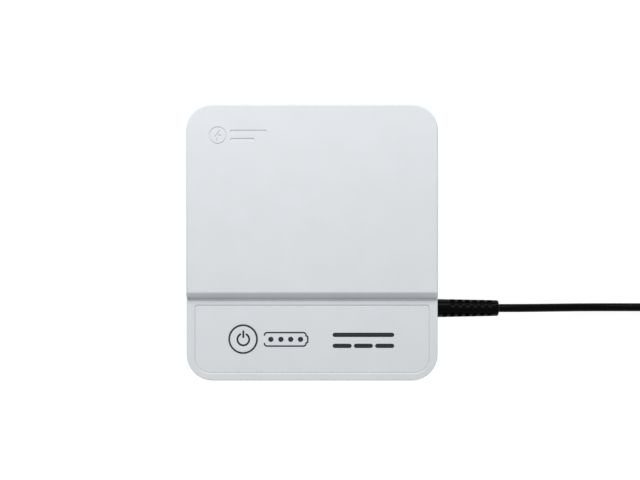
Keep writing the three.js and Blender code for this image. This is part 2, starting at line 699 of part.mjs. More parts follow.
// Open tray with a low rib under each pair of neighbouring cells.
function batteryTray() {
  const { halfWidth, yMin, yMax, floorZ, wallZ, wall } = TRAY;
  const body = plate(roundedShape(halfWidth, yMin, yMax, 2), floorZ, wallZ, 4);
  const room = block(-halfWidth + wall, halfWidth - wall, yMin + wall, yMax - wall, floorZ + 1.2, wallZ + 1);
  const ribs = [0, 1].map((i) => {
    const y = (CELL_Y[i] + CELL_Y[i + 1]) / 2;
    return block(-halfWidth + 0.5, halfWidth - 0.5, y - 0.9, y + 0.9, floorZ + 0.5, floorZ + 3);
  });
  return join(cut(body, room), ...ribs);
}

// A cell along X: flat negative end, a short raised positive button.
function batteryCell() {
  const half = CELL_LENGTH / 2;
  const shoulder = half - 0.6;
  const buttonRadius = 3.2;
  const profile = [
    [0, -half],
    [CELL_RADIUS, -half],
    [CELL_RADIUS, shoulder],
    [buttonRadius, shoulder],
    [buttonRadius, half],
    [0, half],
  ];
  return turned(profile, 24).rotateY(Math.PI / 2);
}

// Nickel strip against the cell ends on one side, from one cell's middle to another's.
function cellStrip(side, firstY, lastY) {
  const inner = CELL_LENGTH / 2 + GAP;
  const outer = inner + STRIP_THICKNESS;
  const xMin = side < 0 ? -outer : inner;
  const overrun = 4;
  const halfHeight = 3;
  return block(xMin, xMin + STRIP_THICKNESS, firstY - overrun, lastY + overrun, CELL_Z - halfHeight,
    CELL_Z + halfHeight);
}

function protectionBoard() {
  const { xMin, xMax, yMin, yMax, zMin, zMax } = PROTECTION_BOARD;
  const partsZ = [(zMin + zMax) / 2 - 2, (zMin + zMax) / 2 + 2];
  const partsOnBoard = PROTECTION_PARTS_Y.map((y) => block(xMax - 0.1, xMax + 1, y, y + 5, ...partsZ));
  return join(block(xMin, xMax, yMin, yMax, zMin, zMax), ...partsOnBoard);
}

function batteryPlug() {
  const { xMin, xMax, yMin, yMax, zMin, zMax } = BATTERY_PLUG;
  return block(xMin, xMax, yMin, yMax, zMin, zMax);
}

function foamPad() {
  return block(-FOAM.halfWidth, FOAM.halfWidth, FOAM.yMin, FOAM.yMax, FOAM.zMin, UPPER_CEILING_Z - GAP);
}

// From the plug, round the corner of the tray, to the foot end of the protection board.
const RED_LEAD_ROUTE = [
  [20.4, -9.1, 9.6],
  [20.9, -7.8, 9.2],
  [22.6, -7.2, 8.8],
  [28, -7.2, 8.8],
  [34, -7.2, 9.4],
  [38.6, -6.6, 10.4],
  [40.6, -4, 11],
  [40.9, -0.5, 11.4],
  [40.5, 3, 11.9],
  [39.2, 4.6, 12],
  [37.6, 4.8, 12],
];
const BLACK_LEAD_ROUTE = [
  [17.6, -9.1, 9.8],
  [18, -7.8, 10.4],
  [19.6, -7.2, 10.9],
  [26, -7.2, 11],
  [33, -7, 11.4],
  [37, -6, 12.2],
  [38.8, -3.6, 12.9],
  [39, -0.6, 13.2],
  [38.6, 1.6, 13.2],
  [37.6, 2.2, 13.1],
];

function outputLead(side) {
  return tube([
    [48.3, PORT_Y + 1.2 * side, 12],
    [46.8, PORT_Y + 1.2 * side, 11.9],
    [45.6, PORT_Y + 1.5 * side, 10.6],
    [44.3, PORT_Y + 1.5 * side, 10.1],
  ], LEAD_RADIUS, 6, 6);
}

function buildBatteryPack() {
  const group = new THREE.Group();
  const polarity = [1, -1, 1];
  add(group, 'battery_tray', batteryTray(), finish(...TRAY_PLASTIC));
  CELL_Y.forEach((y, i) => {
    const cell = add(group, `battery_cell_${i + 1}`, batteryCell(), finish(...CELL_WRAP), [0, y, CELL_Z]);
    if (polarity[i] < 0) cell.rotation.z = Math.PI;
  });
  add(group, 'cell_strip_1', cellStrip(-1, CELL_Y[0], CELL_Y[1]), finish(...NICKEL));
  add(group, 'cell_strip_2', cellStrip(-1, CELL_Y[2], CELL_Y[2]), finish(...NICKEL));
  add(group, 'cell_strip_3', cellStrip(1, CELL_Y[1], CELL_Y[2]), finish(...NICKEL));
  add(group, 'cell_strip_4', cellStrip(1, CELL_Y[0], CELL_Y[0]), finish(...NICKEL));
  add(group, 'protection_board', protectionBoard(), finish(...BOARD_GREEN));
  add(group, 'battery_plug', batteryPlug(), finish(...CONNECTOR));
  add(group, 'battery_lead_red', tube(RED_LEAD_ROUTE, LEAD_RADIUS, 16, 6), finish(...RED_INSULATION));
  add(group, 'battery_lead_black', tube(BLACK_LEAD_ROUTE, LEAD_RADIUS, 16, 6), finish(...BLACK_RUBBER));
  add(group, 'output_lead_red', outputLead(1), finish(...RED_INSULATION));
  add(group, 'output_lead_black', outputLead(-1), finish(...BLACK_RUBBER));
  add(group, 'foam_pad', foamPad(), finish(...DARK_FOAM));
  return group;
}

// ---------------------------------------------------------------------------------------- output cord

// Straight out of the strain relief, down to the surface, and along it to the coil.
const CORD_ROUTE = [
  [RELIEF.endX + GAP, PORT_Y, PORT_Z],
  [87, PORT_Y, 11.45],
  [95, PORT_Y, 9.7],
  [103, PORT_Y, 6.9],
  [111, PORT_Y, 4.2],
  [119, PORT_Y, 2.35],
  [127, PORT_Y, 1.85],
  [135, PORT_Y, 1.85],
  [143, PORT_Y, 1.95],
  [150, PORT_Y, 2.15],
  [156.2, PORT_Y, 2.4],
];

// A collar inside the wall, a neck through it, and the tapered bend protector outside.
function strainRelief() {
  const { collarX, collarRadius, neckRadius, rootRadius, tipRadius, endX } = RELIEF;
  const outsideX = CASE_WIDTH / 2 + GAP;
  const insideX = CASE_WIDTH / 2 - WALL - GAP;
  const rounding = 0.7;
  return turned([
    [0, collarX],
    [collarRadius, collarX],
    [collarRadius, insideX],
    [neckRadius, insideX],
    [neckRadius, outsideX],
    [rootRadius, outsideX],
    [tipRadius, endX - rounding],
    [tipRadius - rounding, endX],
    [0, endX],
  ], 20).rotateY(Math.PI / 2);
}

function cordCoil() {
  const inner = COIL_MEAN_RADIUS - COIL_HALF_WIDTH;
  const outer = COIL_MEAN_RADIUS + COIL_HALF_WIDTH;
  return turned([[inner, 0], [outer, 0], [outer, COIL_HEIGHT], [inner, COIL_HEIGHT], [inner, 0]], 36);
}

// Strap round the bundle on the coil's far side.
function cordTie() {
  const thickness = 0.6;
  const inner = COIL_MEAN_RADIUS - COIL_HALF_WIDTH - 2 * GAP;
  const outer = COIL_MEAN_RADIUS + COIL_HALF_WIDTH + GAP;
  const low = COIL_BOTTOM_Z - GAP;
  const high = COIL_BOTTOM_Z + COIL_HEIGHT + GAP;
  const halfWidth = 2.5;
  const band = block(-halfWidth, halfWidth, inner - thickness, outer + thickness, 0, high + thickness);
  return cut(band, block(-2 * halfWidth, 2 * halfWidth, inner, outer, low, high));
}

function plugBody() {
  const chamfer = 0.8;
  return turned([
    [0, 0],
    [2.4, 0],
    [2.8, 5],
    [4.4, 8],
    [PLUG_RADIUS, 9.5],
    [PLUG_RADIUS, PLUG_LENGTH - chamfer],
    [PLUG_RADIUS - chamfer, PLUG_LENGTH],
    [0, PLUG_LENGTH],
  ], 20).rotateX(-Math.PI / 2);
}

function sleeve(outer, inner, length, sides = 16) {
  const profile = [[inner, 0], [outer, 0], [outer, length], [inner, length], [inner, 0]];
  return turned(profile, sides).rotateX(-Math.PI / 2);
}

function buildOutputCord() {
  const group = new THREE.Group();
  const reliefAxis = [0, PORT_Y, PORT_Z];
  add(group, 'strain_relief', strainRelief(), finish(...BLACK_RUBBER), reliefAxis);
  add(group, 'output_cord', tube(CORD_ROUTE, CORD_RADIUS, 20), finish(...BLACK_RUBBER));
  add(group, 'cord_coil', cordCoil(), finish(...BLACK_RUBBER), [COIL_X, COIL_Y, COIL_BOTTOM_Z]);
  add(group, 'cord_tie', cordTie(), finish(...BLACK_RUBBER), [COIL_X, COIL_Y, 0]);
  const tailRoute = [
    [PLUG_X, COIL_Y + 13.8, 5.8],
    [PLUG_X, COIL_Y + 17, 5.4],
    [PLUG_X, COIL_Y + 21, 5.1],
    [PLUG_X, PLUG_START_Y - GAP, PLUG_RADIUS],
  ];
  add(group, 'cord_tail', tube(tailRoute, CORD_RADIUS, 3), finish(...BLACK_RUBBER));
  const plug = new THREE.Group();
  plug.position.set(PLUG_X, PLUG_START_Y, PLUG_RADIUS);
  const barrelStart = [0, PLUG_LENGTH + GAP, 0];
  add(plug, 'plug_body', plugBody(), finish(...BLACK_PLASTIC));
  add(plug, 'plug_barrel', sleeve(2.75, 1.95, BARREL_LENGTH), finish(...NICKEL), barrelStart);
  add(plug, 'plug_insulator', sleeve(1.65, 1.05, BARREL_LENGTH - 0.3), finish(...BLACK_PLASTIC), barrelStart);
  group.add(plug);
  return group;
}

// --------------------------------------------------------------------------------------------- object

const ups = new THREE.Group();
ups.add(buildEnclosure(), buildControls(), buildElectronics(), buildBatteryPack(), buildOutputCord());

export default ups;
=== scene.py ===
import json
import math

import bmesh
import bpy
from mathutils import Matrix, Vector


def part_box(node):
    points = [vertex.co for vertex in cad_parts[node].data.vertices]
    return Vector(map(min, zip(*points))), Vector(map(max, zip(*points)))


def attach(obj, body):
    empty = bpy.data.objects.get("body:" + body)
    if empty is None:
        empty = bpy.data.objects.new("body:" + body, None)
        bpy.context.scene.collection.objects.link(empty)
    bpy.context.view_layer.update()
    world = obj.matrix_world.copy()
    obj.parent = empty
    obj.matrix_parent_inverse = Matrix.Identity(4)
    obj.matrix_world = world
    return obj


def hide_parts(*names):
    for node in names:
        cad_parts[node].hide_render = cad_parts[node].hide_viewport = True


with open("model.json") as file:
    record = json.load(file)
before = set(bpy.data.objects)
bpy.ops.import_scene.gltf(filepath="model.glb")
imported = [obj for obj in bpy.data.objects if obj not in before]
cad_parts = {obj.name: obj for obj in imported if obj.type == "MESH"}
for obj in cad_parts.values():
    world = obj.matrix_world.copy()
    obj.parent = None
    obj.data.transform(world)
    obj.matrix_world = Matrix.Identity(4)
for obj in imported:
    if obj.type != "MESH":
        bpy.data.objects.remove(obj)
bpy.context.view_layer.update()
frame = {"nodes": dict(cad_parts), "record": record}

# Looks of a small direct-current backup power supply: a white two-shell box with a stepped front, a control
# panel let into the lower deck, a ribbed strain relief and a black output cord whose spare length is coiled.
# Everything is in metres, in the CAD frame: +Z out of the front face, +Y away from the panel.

MM = 0.001

# ---- driving dimensions

FRONT_LOW, FRONT_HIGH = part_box("front_cover")
REAR_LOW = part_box("rear_cover")[0]
PANEL_LOW, PANEL_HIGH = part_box("control_panel")
BUTTON_LOW, BUTTON_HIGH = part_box("power_button")
RELIEF_LOW, RELIEF_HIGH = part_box("strain_relief")
COIL_LOW, COIL_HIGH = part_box("cord_coil")
PLUG_LOW, PLUG_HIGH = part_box("plug_body")
PLUG_ORIGIN = Vector(((PLUG_LOW.x + PLUG_HIGH.x) / 2, PLUG_LOW.y, (PLUG_LOW.z + PLUG_HIGH.z) / 2))

HALF_WIDTH = FRONT_HIGH.x
HALF_LENGTH = FRONT_HIGH.y
TOP_Z = FRONT_HIGH.z
FRONT_BOTTOM_Z = FRONT_LOW.z
DECK_Z = PANEL_HIGH.z
CORNER_RADIUS = 11 * MM
WALL = 2 * MM
GAP = 0.3 * MM
OFF_PLANE = 0.01 * MM  # keeps the faces of joined and cut solids out of one plane
OVERLAP = 0.5 * MM  # how far joined solids run into each other

STEP_Y = -21.05 * MM
STEP_RUN = 2.05 * MM
STEP_FOOT_Y = STEP_Y - STEP_RUN
STEP_EDGE_ROUND = 0.8 * MM
FOOT_GROOVE_WIDTH = 1.0 * MM
FOOT_GROOVE_DEPTH = 1.0 * MM
FOOT_GROOVE_FLARE = 0.3 * MM
FOOT_GROOVE_END = 0.5 * MM  # from the groove's end to the side of the case
TOP_ROUND = 0.85 * MM
DECK_ROUND = 0.45 * MM
REAR_ROUND = 1.5 * MM
LOWER_CEILING_Z = 21 * MM
FLOOR_Z = REAR_LOW.z + WALL
REAR_SHELL_TOP = 11.85 * MM
TONGUE_LOW_Z = 9.5 * MM
TONGUE_HIGH_Z = 13.5 * MM
TONGUE_THICKNESS = 1 * MM
SCREW_HOLE_RADIUS = 1.6 * MM

PANEL_TOP_Z = DECK_Z - 0.16 * MM
PANEL_SEAM = 0.06 * MM
PANEL_SEAM_Z = DECK_Z - 0.3 * MM
POCKET_BEVEL = 0.5 * MM
PANEL_BEVEL = 0.36 * MM
PANEL_SEAM_LINE = 0.25 * MM  # middle of the seam, outside the panel's CAD edge
PANEL_LOW_CORNER = 6 * MM
PANEL_HIGH_CORNER = 0.8 * MM

BUTTON = Vector(((BUTTON_LOW.x + BUTTON_HIGH.x) / 2, (BUTTON_LOW.y + BUTTON_HIGH.y) / 2, BUTTON_HIGH.z))
BUTTON_RADIUS = 5.85 * MM
BUTTON_HOLE_RADIUS = BUTTON_RADIUS + GAP
BUTTON_DISH = 0.12 * MM
LAMP_X = [x * MM for x in (-17.25, -13.05, -8.95, -4.85)]
LAMP_Y = -40.5 * MM
LAMP_HOLE_RADIUS = 1.1 * MM
LAMP_PIN_RADIUS = 1.03 * MM

PORT_Y = (RELIEF_LOW.y + RELIEF_HIGH.y) / 2
PORT_Z = (RELIEF_LOW.z + RELIEF_HIGH.z) / 2
RELIEF_NECK_RADIUS = 2.6 * MM
RELIEF_FLANGE_RADIUS = 4.4 * MM
JACK_NOSE_RADIUS = 4.3 * MM
JACK_SOCKET_RADIUS = 3.2 * MM
JACK_SOCKET_END_X = -41.5 * MM
INK = 0.02 * MM  # half the thickness of a print, sunk by half into its surface

SHARP_ANGLE = math.radians(32)

CORD_RADIUS = 1.75 * MM
COIL_TURNS = 3  # in each of the two layers
COIL_PITCH = 3.6 * MM
COIL_MEAN_RADIUS = 19.25 * MM


# ---- mesh helpers

def new_object(name, bm):
    """An object from a bmesh, its faces turned outwards."""
    bmesh.ops.recalc_face_normals(bm, faces=bm.faces)
    mesh = bpy.data.meshes.new(name)
    bm.to_mesh(mesh)
    bm.free()
    obj = bpy.data.objects.new(name, mesh)
    bpy.context.scene.collection.objects.link(obj)
    return obj


def rounded_outline(half_width, y_min, y_max, low_radius, high_radius, segments=16):
    """Points of a rectangle centred on x = 0, with one radius at its lower and one at its upper corners."""
    corners = [
        (half_width - high_radius, y_max - high_radius, high_radius),
        (-half_width + high_radius, y_max - high_radius, high_radius),
        (-half_width + low_radius, y_min + low_radius, low_radius),
        (half_width - low_radius, y_min + low_radius, low_radius),
    ]
    points = []
    for quarter, (x, y, radius) in enumerate(corners):
        for i in range(segments + 1):
            angle = math.pi / 2 * (quarter + i / segments)
            points.append((x + radius * math.cos(angle), y + radius * math.sin(angle)))
    return points


def case_outline(inset):
    """The outline of the case in plan, drawn in by inset."""
    y = HALF_LENGTH - inset
    radius = CORNER_RADIUS - inset
    return rounded_outline(HALF_WIDTH - inset, -y, y, radius, radius)


def inner_outline(inset):
    """The inside of the walls in plan."""
    return case_outline(WALL + inset)


def circle_outline(x, y, radius, sides=64):
    angles = [2 * math.pi * i / sides for i in range(sides)]
    return [(x + radius * math.cos(a), y + radius * math.sin(a)) for a in angles]


def loft(name, rings):
    """A closed solid through rings of equally many points."""
    bm = bmesh.new()
    loops = [[bm.verts.new(point) for point in ring] for ring in rings]
    count = len(rings[0])
    for lower, upper in zip(loops, loops[1:]):
        for i in range(count):
            j = (i + 1) % count
            bm.faces.new((lower[i], lower[j], upper[j], upper[i]))
    bm.faces.new(loops[0][::-1])
    bm.faces.new(loops[-1])
    return new_object(name, bm)


def slab(name, outline, z_low, z_high, low_round=0, high_round=0, steps=6):
    """A plate between two heights. outline(inset) gives its shape; each rim can be rounded, or flared
    outwards by a negative radius, as a cutter's is that leaves a softened edge."""
    profile = []
    for i in range(steps + 1 if low_round else 1):
        angle = math.pi / 2 * i / steps
        profile.append((low_round * (1 - math.sin(angle)), z_low + abs(low_round) * (1 - math.cos(angle))))
    for i in range(steps + 1 if high_round else 1):
        angle = math.pi / 2 * i / steps
        rise = abs(high_round) * (1 - math.sin(angle))
        profile.append((high_round * (1 - math.cos(angle)), z_high - rise))
    return loft(name, [[(x, y, z) for x, y in outline(inset)] for inset, z in profile])


def across(name, outline, x_min, x_max):
    """A (y, z) outline carried across the width."""
    return loft(name, [[(x, y, z) for y, z in outline] for x in (x_min, x_max)])


def softened(points, rounding, steps=5):
    """The outline with its corners rounded: rounding maps a corner's place in the list to a distance."""
    result = []
    for i, point in enumerate(points):
        corner = Vector(point)
        distance = rounding.get(i)
        if not distance:
            result.append(tuple(corner))
            continue
        before = corner + (Vector(points[i - 1]) - corner).normalized() * distance
        after = corner + (Vector(points[(i + 1) % len(points)]) - corner).normalized() * distance
        for k in range(steps + 1):
            t = k / steps
            result.append(tuple(before * (1 - t) ** 2 + corner * 2 * t * (1 - t) + after * t ** 2))
    return result


def turned(name, profile, origin, axis, sides=48):
    """A (radius, distance) profile turned about an axis through origin. Ends on the axis are closed."""
    side_axis = Vector((0, 0, 1)) if abs(axis.z) < 0.5 else Vector((1, 0, 0))
    across_axis = axis.cross(side_axis).normalized()
    bm = bmesh.new()
    loops = []
    for radius, distance in profile:
        centre = origin + axis * distance
        if radius == 0:
            loops.append([bm.verts.new(centre)])
            continue
        loop = []
        for i in range(sides):
            angle = 2 * math.pi * i / sides
            offset = side_axis * math.cos(angle) + across_axis * math.sin(angle)
            loop.append(bm.verts.new(centre + offset * radius))
        loops.append(loop)
    for lower, upper in zip(loops, loops[1:]):
        for i in range(sides):
            j = (i + 1) % sides
            low_pair = [lower[i % len(lower)], lower[j % len(lower)]]
            high_pair = [upper[j % len(upper)], upper[i % len(upper)]]
            unique = list(dict.fromkeys(low_pair + high_pair))
            if len(unique) > 2:
                bm.faces.new(unique)
    return new_object(name, bm)


def ribbon(name, points, width, z_low, z_high, closed=False):
    """A flat strip of constant width along a line in the XY plane, with round ends."""
    end_angles = (0.5, 0.95, 1.3, 1.5)  # radians round each end
    line = [Vector(point) for point in points]
    widths = [width] * len(line)
    if not closed:
        ends = []
        for end, inner in ((line[0], line[1]), (line[-1], line[-2])):
            out = (end - inner).normalized() * width / 2
            ends.append([(end + out * math.sin(a), width * math.cos(a)) for a in end_angles])
        line = [p for p, _ in reversed(ends[0])] + line + [p for p, _ in ends[1]]
        widths = [w for _, w in reversed(ends[0])] + widths + [w for _, w in ends[1]]
    count = len(line)
    bm = bmesh.new()
    sections = []
    for i, point in enumerate(line):
        before = line[i - 1] if closed or i > 0 else point
        after = line[(i + 1) % count] if closed or i < count - 1 else point
        along = (after - before).normalized()
        side = Vector((-along.y, along.x)) * widths[i] / 2
        left, right = point + side, point - side
        sections.append([bm.verts.new((*p, z)) for p, z in
                         ((left, z_high), (right, z_high), (right, z_low), (left, z_low))])
    for i in range(count if closed else count - 1):
        a, b = sections[i], sections[(i + 1) % count]
        for k in range(4):
            bm.faces.new((a[k], b[k], b[(k + 1) % 4], a[(k + 1) % 4]))
    if not closed:
        bm.faces.new(sections[0])
        bm.faces.new(sections[-1][::-1])
    return new_object(name, bm)


def in_metres(points):
    """Points written in millimetres, as tuples in metres."""
    return [tuple(value * MM for value in point) for point in points]


def arc(centre, radius, start, end, steps=32):
    """Points of an arc in the XY plane, angles in degrees."""
    angles = [math.radians(start + (end - start) * i / steps) for i in range(steps + 1)]
    return [(centre[0] + radius * math.cos(a), centre[1] + radius * math.sin(a)) for a in angles]


def weld(obj):
    """Closes the seam of a profile that ends where it starts."""
    bm = bmesh.new()
    bm.from_mesh(obj.data)
    bmesh.ops.remove_doubles(bm, verts=bm.verts, dist=1e-7)
    bm.to_mesh(obj.data)
    bm.free()


def remove(objects):
    """Deletes objects with their meshes."""
    for obj in objects:
        mesh = obj.data
        bpy.data.objects.remove(obj)
        bpy.data.meshes.remove(mesh)


def settle(obj):
    """Applies an object's modifiers."""
    bpy.context.view_layer.update()
    graph = bpy.context.evaluated_depsgraph_get()
    mesh = bpy.data.meshes.new_from_object(obj.evaluated_get(graph))
    old = obj.data
    obj.modifiers.clear()
    obj.data = mesh
    bpy.data.meshes.remove(old)


def combine(base, tools, operation):
    for tool in tools:
        modifier = base.modifiers.new(tool.name, "BOOLEAN")
        modifier.solver = "EXACT"
        modifier.operation = operation
        modifier.object = tool
    settle(base)
    remove(tools)
    return base


def cut(base, *tools):
    return combine(base, tools, "DIFFERENCE")


def join(base, *tools):
    return combine(base, tools, "UNION")


def merged(name, objects):
    """Objects that don't touch, gathered into one."""
    bm = bmesh.new()
    for obj in objects:
        bm.from_mesh(obj.data)
    remove(objects)
    return new_object(name, bm)


def shade(obj):
    """Smooth shading that keeps flat faces flat."""
    mesh = obj.data
    mesh.polygons.foreach_set("use_smooth", [True] * len(mesh.polygons))
    mesh.set_sharp_from_angle(angle=SHARP_ANGLE)
    modifier = obj.modifiers.new("flat_faces_stay_flat", "WEIGHTED_NORMAL")
    modifier.keep_sharp = True


def soften_edges(obj, width, angle):
    """A two-step bevel on the edges sharper than the angle, in degrees."""
    bevel = obj.modifiers.new("soft_edges", "BEVEL")
    bevel.width = width
    bevel.segments = 2
    bevel.limit_method = "ANGLE"
    bevel.angle_limit = math.radians(angle)


def finish_piece(obj, slot, nodes=(), body="case", material=None):
    """Gives a piece its shading, its material (the slot's own if none is named) and its body."""
    shade(obj)
    obj.data.materials.clear()
    obj.data.materials.append(material or MATERIALS[slot])
    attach(obj, body)
    if nodes:
        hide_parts(*nodes)
    return obj


# ---- materials

class Surface:
    """A node material under construction, with textures in the object's own coordinates."""

    def __init__(self, name, roughness=0.5, metallic=0.0, specular=0.5):
        self.material = bpy.data.materials.new(name)
        self.material.use_nodes = True
        tree = self.material.node_tree
        self.nodes = tree.nodes
        self.links = tree.links
        self.shader = self.nodes["Principled BSDF"]
        self.shader.inputs["Roughness"].default_value = roughness
        self.shader.inputs["Metallic"].default_value = metallic
        self.shader.inputs["Specular IOR Level"].default_value = specular
        self.place = self.nodes.new("ShaderNodeTexCoord").outputs["Object"]

    def noise(self, feature, detail=3.0, stretch=None):
        """Noise whose features are about this many metres across."""
        node = self.nodes.new("ShaderNodeTexNoise")
        node.inputs["Scale"].default_value = 1 / feature
        node.inputs["Detail"].default_value = detail
        place = self.place
        if stretch:
            mapping = self.nodes.new("ShaderNodeMapping")
            mapping.inputs["Scale"].default_value = stretch
            self.links.new(place, mapping.inputs["Vector"])
            place = mapping.outputs["Vector"]
        self.links.new(place, node.inputs["Vector"])
        return node.outputs["Fac"]

    def cells(self, feature):
        node = self.nodes.new("ShaderNodeTexVoronoi")
        node.inputs["Scale"].default_value = 1 / feature
        self.links.new(self.place, node.inputs["Vector"])
        return node.outputs["Distance"]

    def ramp(self, value, stops):
        """Colours or greys against a value: stops are (position, colour)."""
        node = self.nodes.new("ShaderNodeValToRGB")
        elements = node.color_ramp.elements
        while len(elements) < len(stops):
            elements.new(0.5)
        for element, (position, colour) in zip(elements, stops):
            element.position = position
            element.color = (*colour, 1) if isinstance(colour, tuple) else (colour, colour, colour, 1)
        self.links.new(value, node.inputs["Fac"])
        return node.outputs["Color"]

    def drive(self, socket, value):
        self.links.new(value, self.shader.inputs[socket])

    def bump(self, value, strength, distance):
        node = self.nodes.new("ShaderNodeBump")
        node.inputs["Strength"].default_value = strength
        node.inputs["Distance"].default_value = distance
        self.links.new(value, node.inputs["Height"])
        self.links.new(node.outputs["Normal"], self.shader.inputs["Normal"])


def tint(colour, factor):
    return tuple(min(1.0, channel * factor) for channel in colour)


def moulded(name, colour, roughness, variation=0.015, grain=0.35 * MM, depth=0.02 * MM, specular=0.4):
    """Moulded plastic: a faintly clouded colour, an uneven gloss and a fine grain."""
    surface = Surface(name, roughness, specular=specular)
    clouds = surface.noise(14 * MM, 4)
    surface.drive("Base Color", surface.ramp(clouds, [
        (0.3, tint(colour, 1 - variation)),
        (0.7, tint(colour, 1 + variation)),
    ]))
    gloss = surface.noise(3 * MM, 5)
    surface.drive("Roughness", surface.ramp(gloss, [(0.25, roughness - 0.04), (0.75, roughness + 0.05)]))
    surface.bump(surface.noise(grain, 2), 0.25, depth)
    return surface.material


def glossy_jacket(name, colour, roughness, specular=0.5):
    """Extruded cord jacket: nearly black, glossy, with soft long ripples."""
    surface = Surface(name, roughness, specular=specular)
    clouds = surface.noise(9 * MM, 3)
    surface.drive("Base Color", surface.ramp(clouds, [(0.3, tint(colour, 0.8)), (0.7, tint(colour, 1.25))]))
    gloss = surface.noise(1.2 * MM, 4)
    surface.drive("Roughness", surface.ramp(gloss, [(0.3, roughness - 0.05), (0.7, roughness + 0.08)]))
    surface.bump(surface.noise(2.5 * MM, 2), 0.2, 0.05 * MM)
    return surface.material


def metal(name, colour, roughness, grain=0.5 * MM, stretch=None):
    """Bare metal with a little tarnish, and streaks where the noise is stretched."""
    surface = Surface(name, roughness, metallic=1.0)
    tarnish = surface.noise(4 * MM, 4)
    surface.drive("Base Color", surface.ramp(tarnish, [(0.3, tint(colour, 0.88)), (0.7, colour)]))
    streaks = surface.noise(grain, 4, stretch)
    surface.drive("Roughness", surface.ramp(streaks, [(0.3, roughness - 0.08), (0.7, roughness + 0.1)]))
    surface.bump(streaks, 0.15, 0.02 * MM)
    return surface.material


def circuit_board():
    """Solder mask over copper: broad pours, fine tracks and a satin gloss."""
    surface = Surface("board_laminate", 0.35)
    dark, light = (0.008, 0.075, 0.03), (0.016, 0.14, 0.055)
    tracks = surface.nodes.new("ShaderNodeTexBrick")
    tracks.inputs["Scale"].default_value = 1 / (9 * MM)
    tracks.inputs["Mortar Size"].default_value = 0.05
    tracks.inputs["Color1"].default_value = (*dark, 1)
    tracks.inputs["Color2"].default_value = (*tint(dark, 1.25), 1)
    tracks.inputs["Mortar"].default_value = (*light, 1)
    surface.links.new(surface.place, tracks.inputs["Vector"])
    surface.drive("Base Color", tracks.outputs["Color"])
    surface.bump(tracks.outputs["Fac"], 0.3, 0.04 * MM)
    return surface.material


def foam():
    """Open-celled dark foam."""
    surface = Surface("foam", 0.95, specular=0.1)
    cells = surface.cells(0.9 * MM)
    surface.drive("Base Color", surface.ramp(cells, [(0.0, 0.02), (0.8, 0.06)]))
    surface.bump(cells, 0.8, 0.3 * MM)
    return surface.material


def hook_and_loop():
    """Woven strap: a fuzzy pile over a dark weave."""
    surface = Surface("strap_weave", 0.9, specular=0.2)
    surface.shader.inputs["Sheen Weight"].default_value = 0.4
    pile = surface.cells(0.5 * MM)
    surface.drive("Base Color", surface.ramp(pile, [(0.0, 0.012), (0.7, 0.035)]))
    surface.bump(pile, 0.9, 0.2 * MM)
    return surface.material


def smoked_lens():
    """Dark, glossy, nearly opaque plastic of the lamp windows."""
    surface = Surface("smoked_plastic", 0.12, specular=0.5)
    depth = surface.noise(1.5 * MM, 2)
    dark, light = (0.012, 0.016, 0.026), (0.02, 0.026, 0.04)
    surface.drive("Base Color", surface.ramp(depth, [(0.3, dark), (0.7, light)]))
    surface.drive("Roughness", surface.ramp(surface.noise(0.6 * MM, 3), [(0.3, 0.1), (0.7, 0.2)]))
    return surface.material


WHITE = (0.66, 0.685, 0.71)
INK_BLUE = (0.013, 0.015, 0.019)
MATERIALS = {
    "white_plastic": moulded("white_plastic", WHITE, 0.5),
    "panel_plastic": moulded("panel_plastic", tint(WHITE, 1.01), 0.44, grain=0.25 * MM, depth=0.01 * MM),
    "smoked_plastic": smoked_lens(),
    "black_rubber": moulded("black_rubber", (0.0005, 0.0007, 0.0006), 0.26, 0.2, 0.5 * MM, 0.02 * MM, 0.065),
    "cord_jacket": glossy_jacket("cord_jacket", (0.0011, 0.0012, 0.0015), 0.26, 0.07),
    "black_plastic": moulded("black_plastic", (0.006, 0.0065, 0.007), 0.45, 0.15, specular=0.2),
    "tray_plastic": moulded("tray_plastic", (0.025, 0.027, 0.03), 0.6, 0.12),
    "connector_plastic": moulded("connector_plastic", (0.78, 0.74, 0.62), 0.45),
    "cell_wrap": moulded("cell_wrap", (0.03, 0.2, 0.36), 0.35, 0.05, 2 * MM, 0.05 * MM),
    "capacitor_wrap": moulded("capacitor_wrap", (0.015, 0.03, 0.075), 0.32, 0.1, 2 * MM, 0.04 * MM),
    "board_laminate": circuit_board(),
    "chip_resin": moulded("chip_resin", (0.014, 0.014, 0.015), 0.6, 0.12, 0.2 * MM),
    "ferrite": moulded("ferrite", (0.045, 0.047, 0.05), 0.7, 0.12, 0.3 * MM, 0.05 * MM),
    "lamp_lens": moulded("lamp_lens", (0.75, 0.68, 0.42), 0.25, 0.03),
    "fuse_glass": moulded("fuse_glass", (0.55, 0.58, 0.56), 0.1, 0.03),
    "heat_sink_metal": metal("heat_sink_metal", (0.6, 0.61, 0.62), 0.4, 0.4 * MM, (1, 12, 1)),
    "nickel": metal("nickel", (0.72, 0.71, 0.68), 0.22),
    "screw_steel": metal("screw_steel", (0.5, 0.51, 0.52), 0.35),
    "label_film": moulded("label_film", (0.8, 0.81, 0.82), 0.38, 0.01, 1.2 * MM, 0.008 * MM),
    "foam": foam(),
    "red_insulation": glossy_jacket("red_insulation", (0.42, 0.012, 0.008), 0.35),
    "black_insulation": glossy_jacket("black_insulation", (0.01, 0.01, 0.011), 0.35),
}
PRINT_INK = moulded("print_ink", INK_BLUE, 0.5, 0.15, 0.4 * MM, 0.004 * MM)
STRAP = hook_and_loop()


# ---- camera

def make_camera():
    """Looks straight down on the front face from 0.8 m above it."""
    data = bpy.data.cameras.new("camera")
    data.sensor_width = 36
    data.lens = 108.1
    data.clip_start = 0.01
    data.clip_end = 10
    camera = bpy.data.objects.new("camera", data)
    camera.location = (3.3 * MM, 1.06 * MM, 827 * MM)
    bpy.context.scene.collection.objects.link(camera)
    bpy.context.scene.camera = camera


make_camera()


# ---- output cord

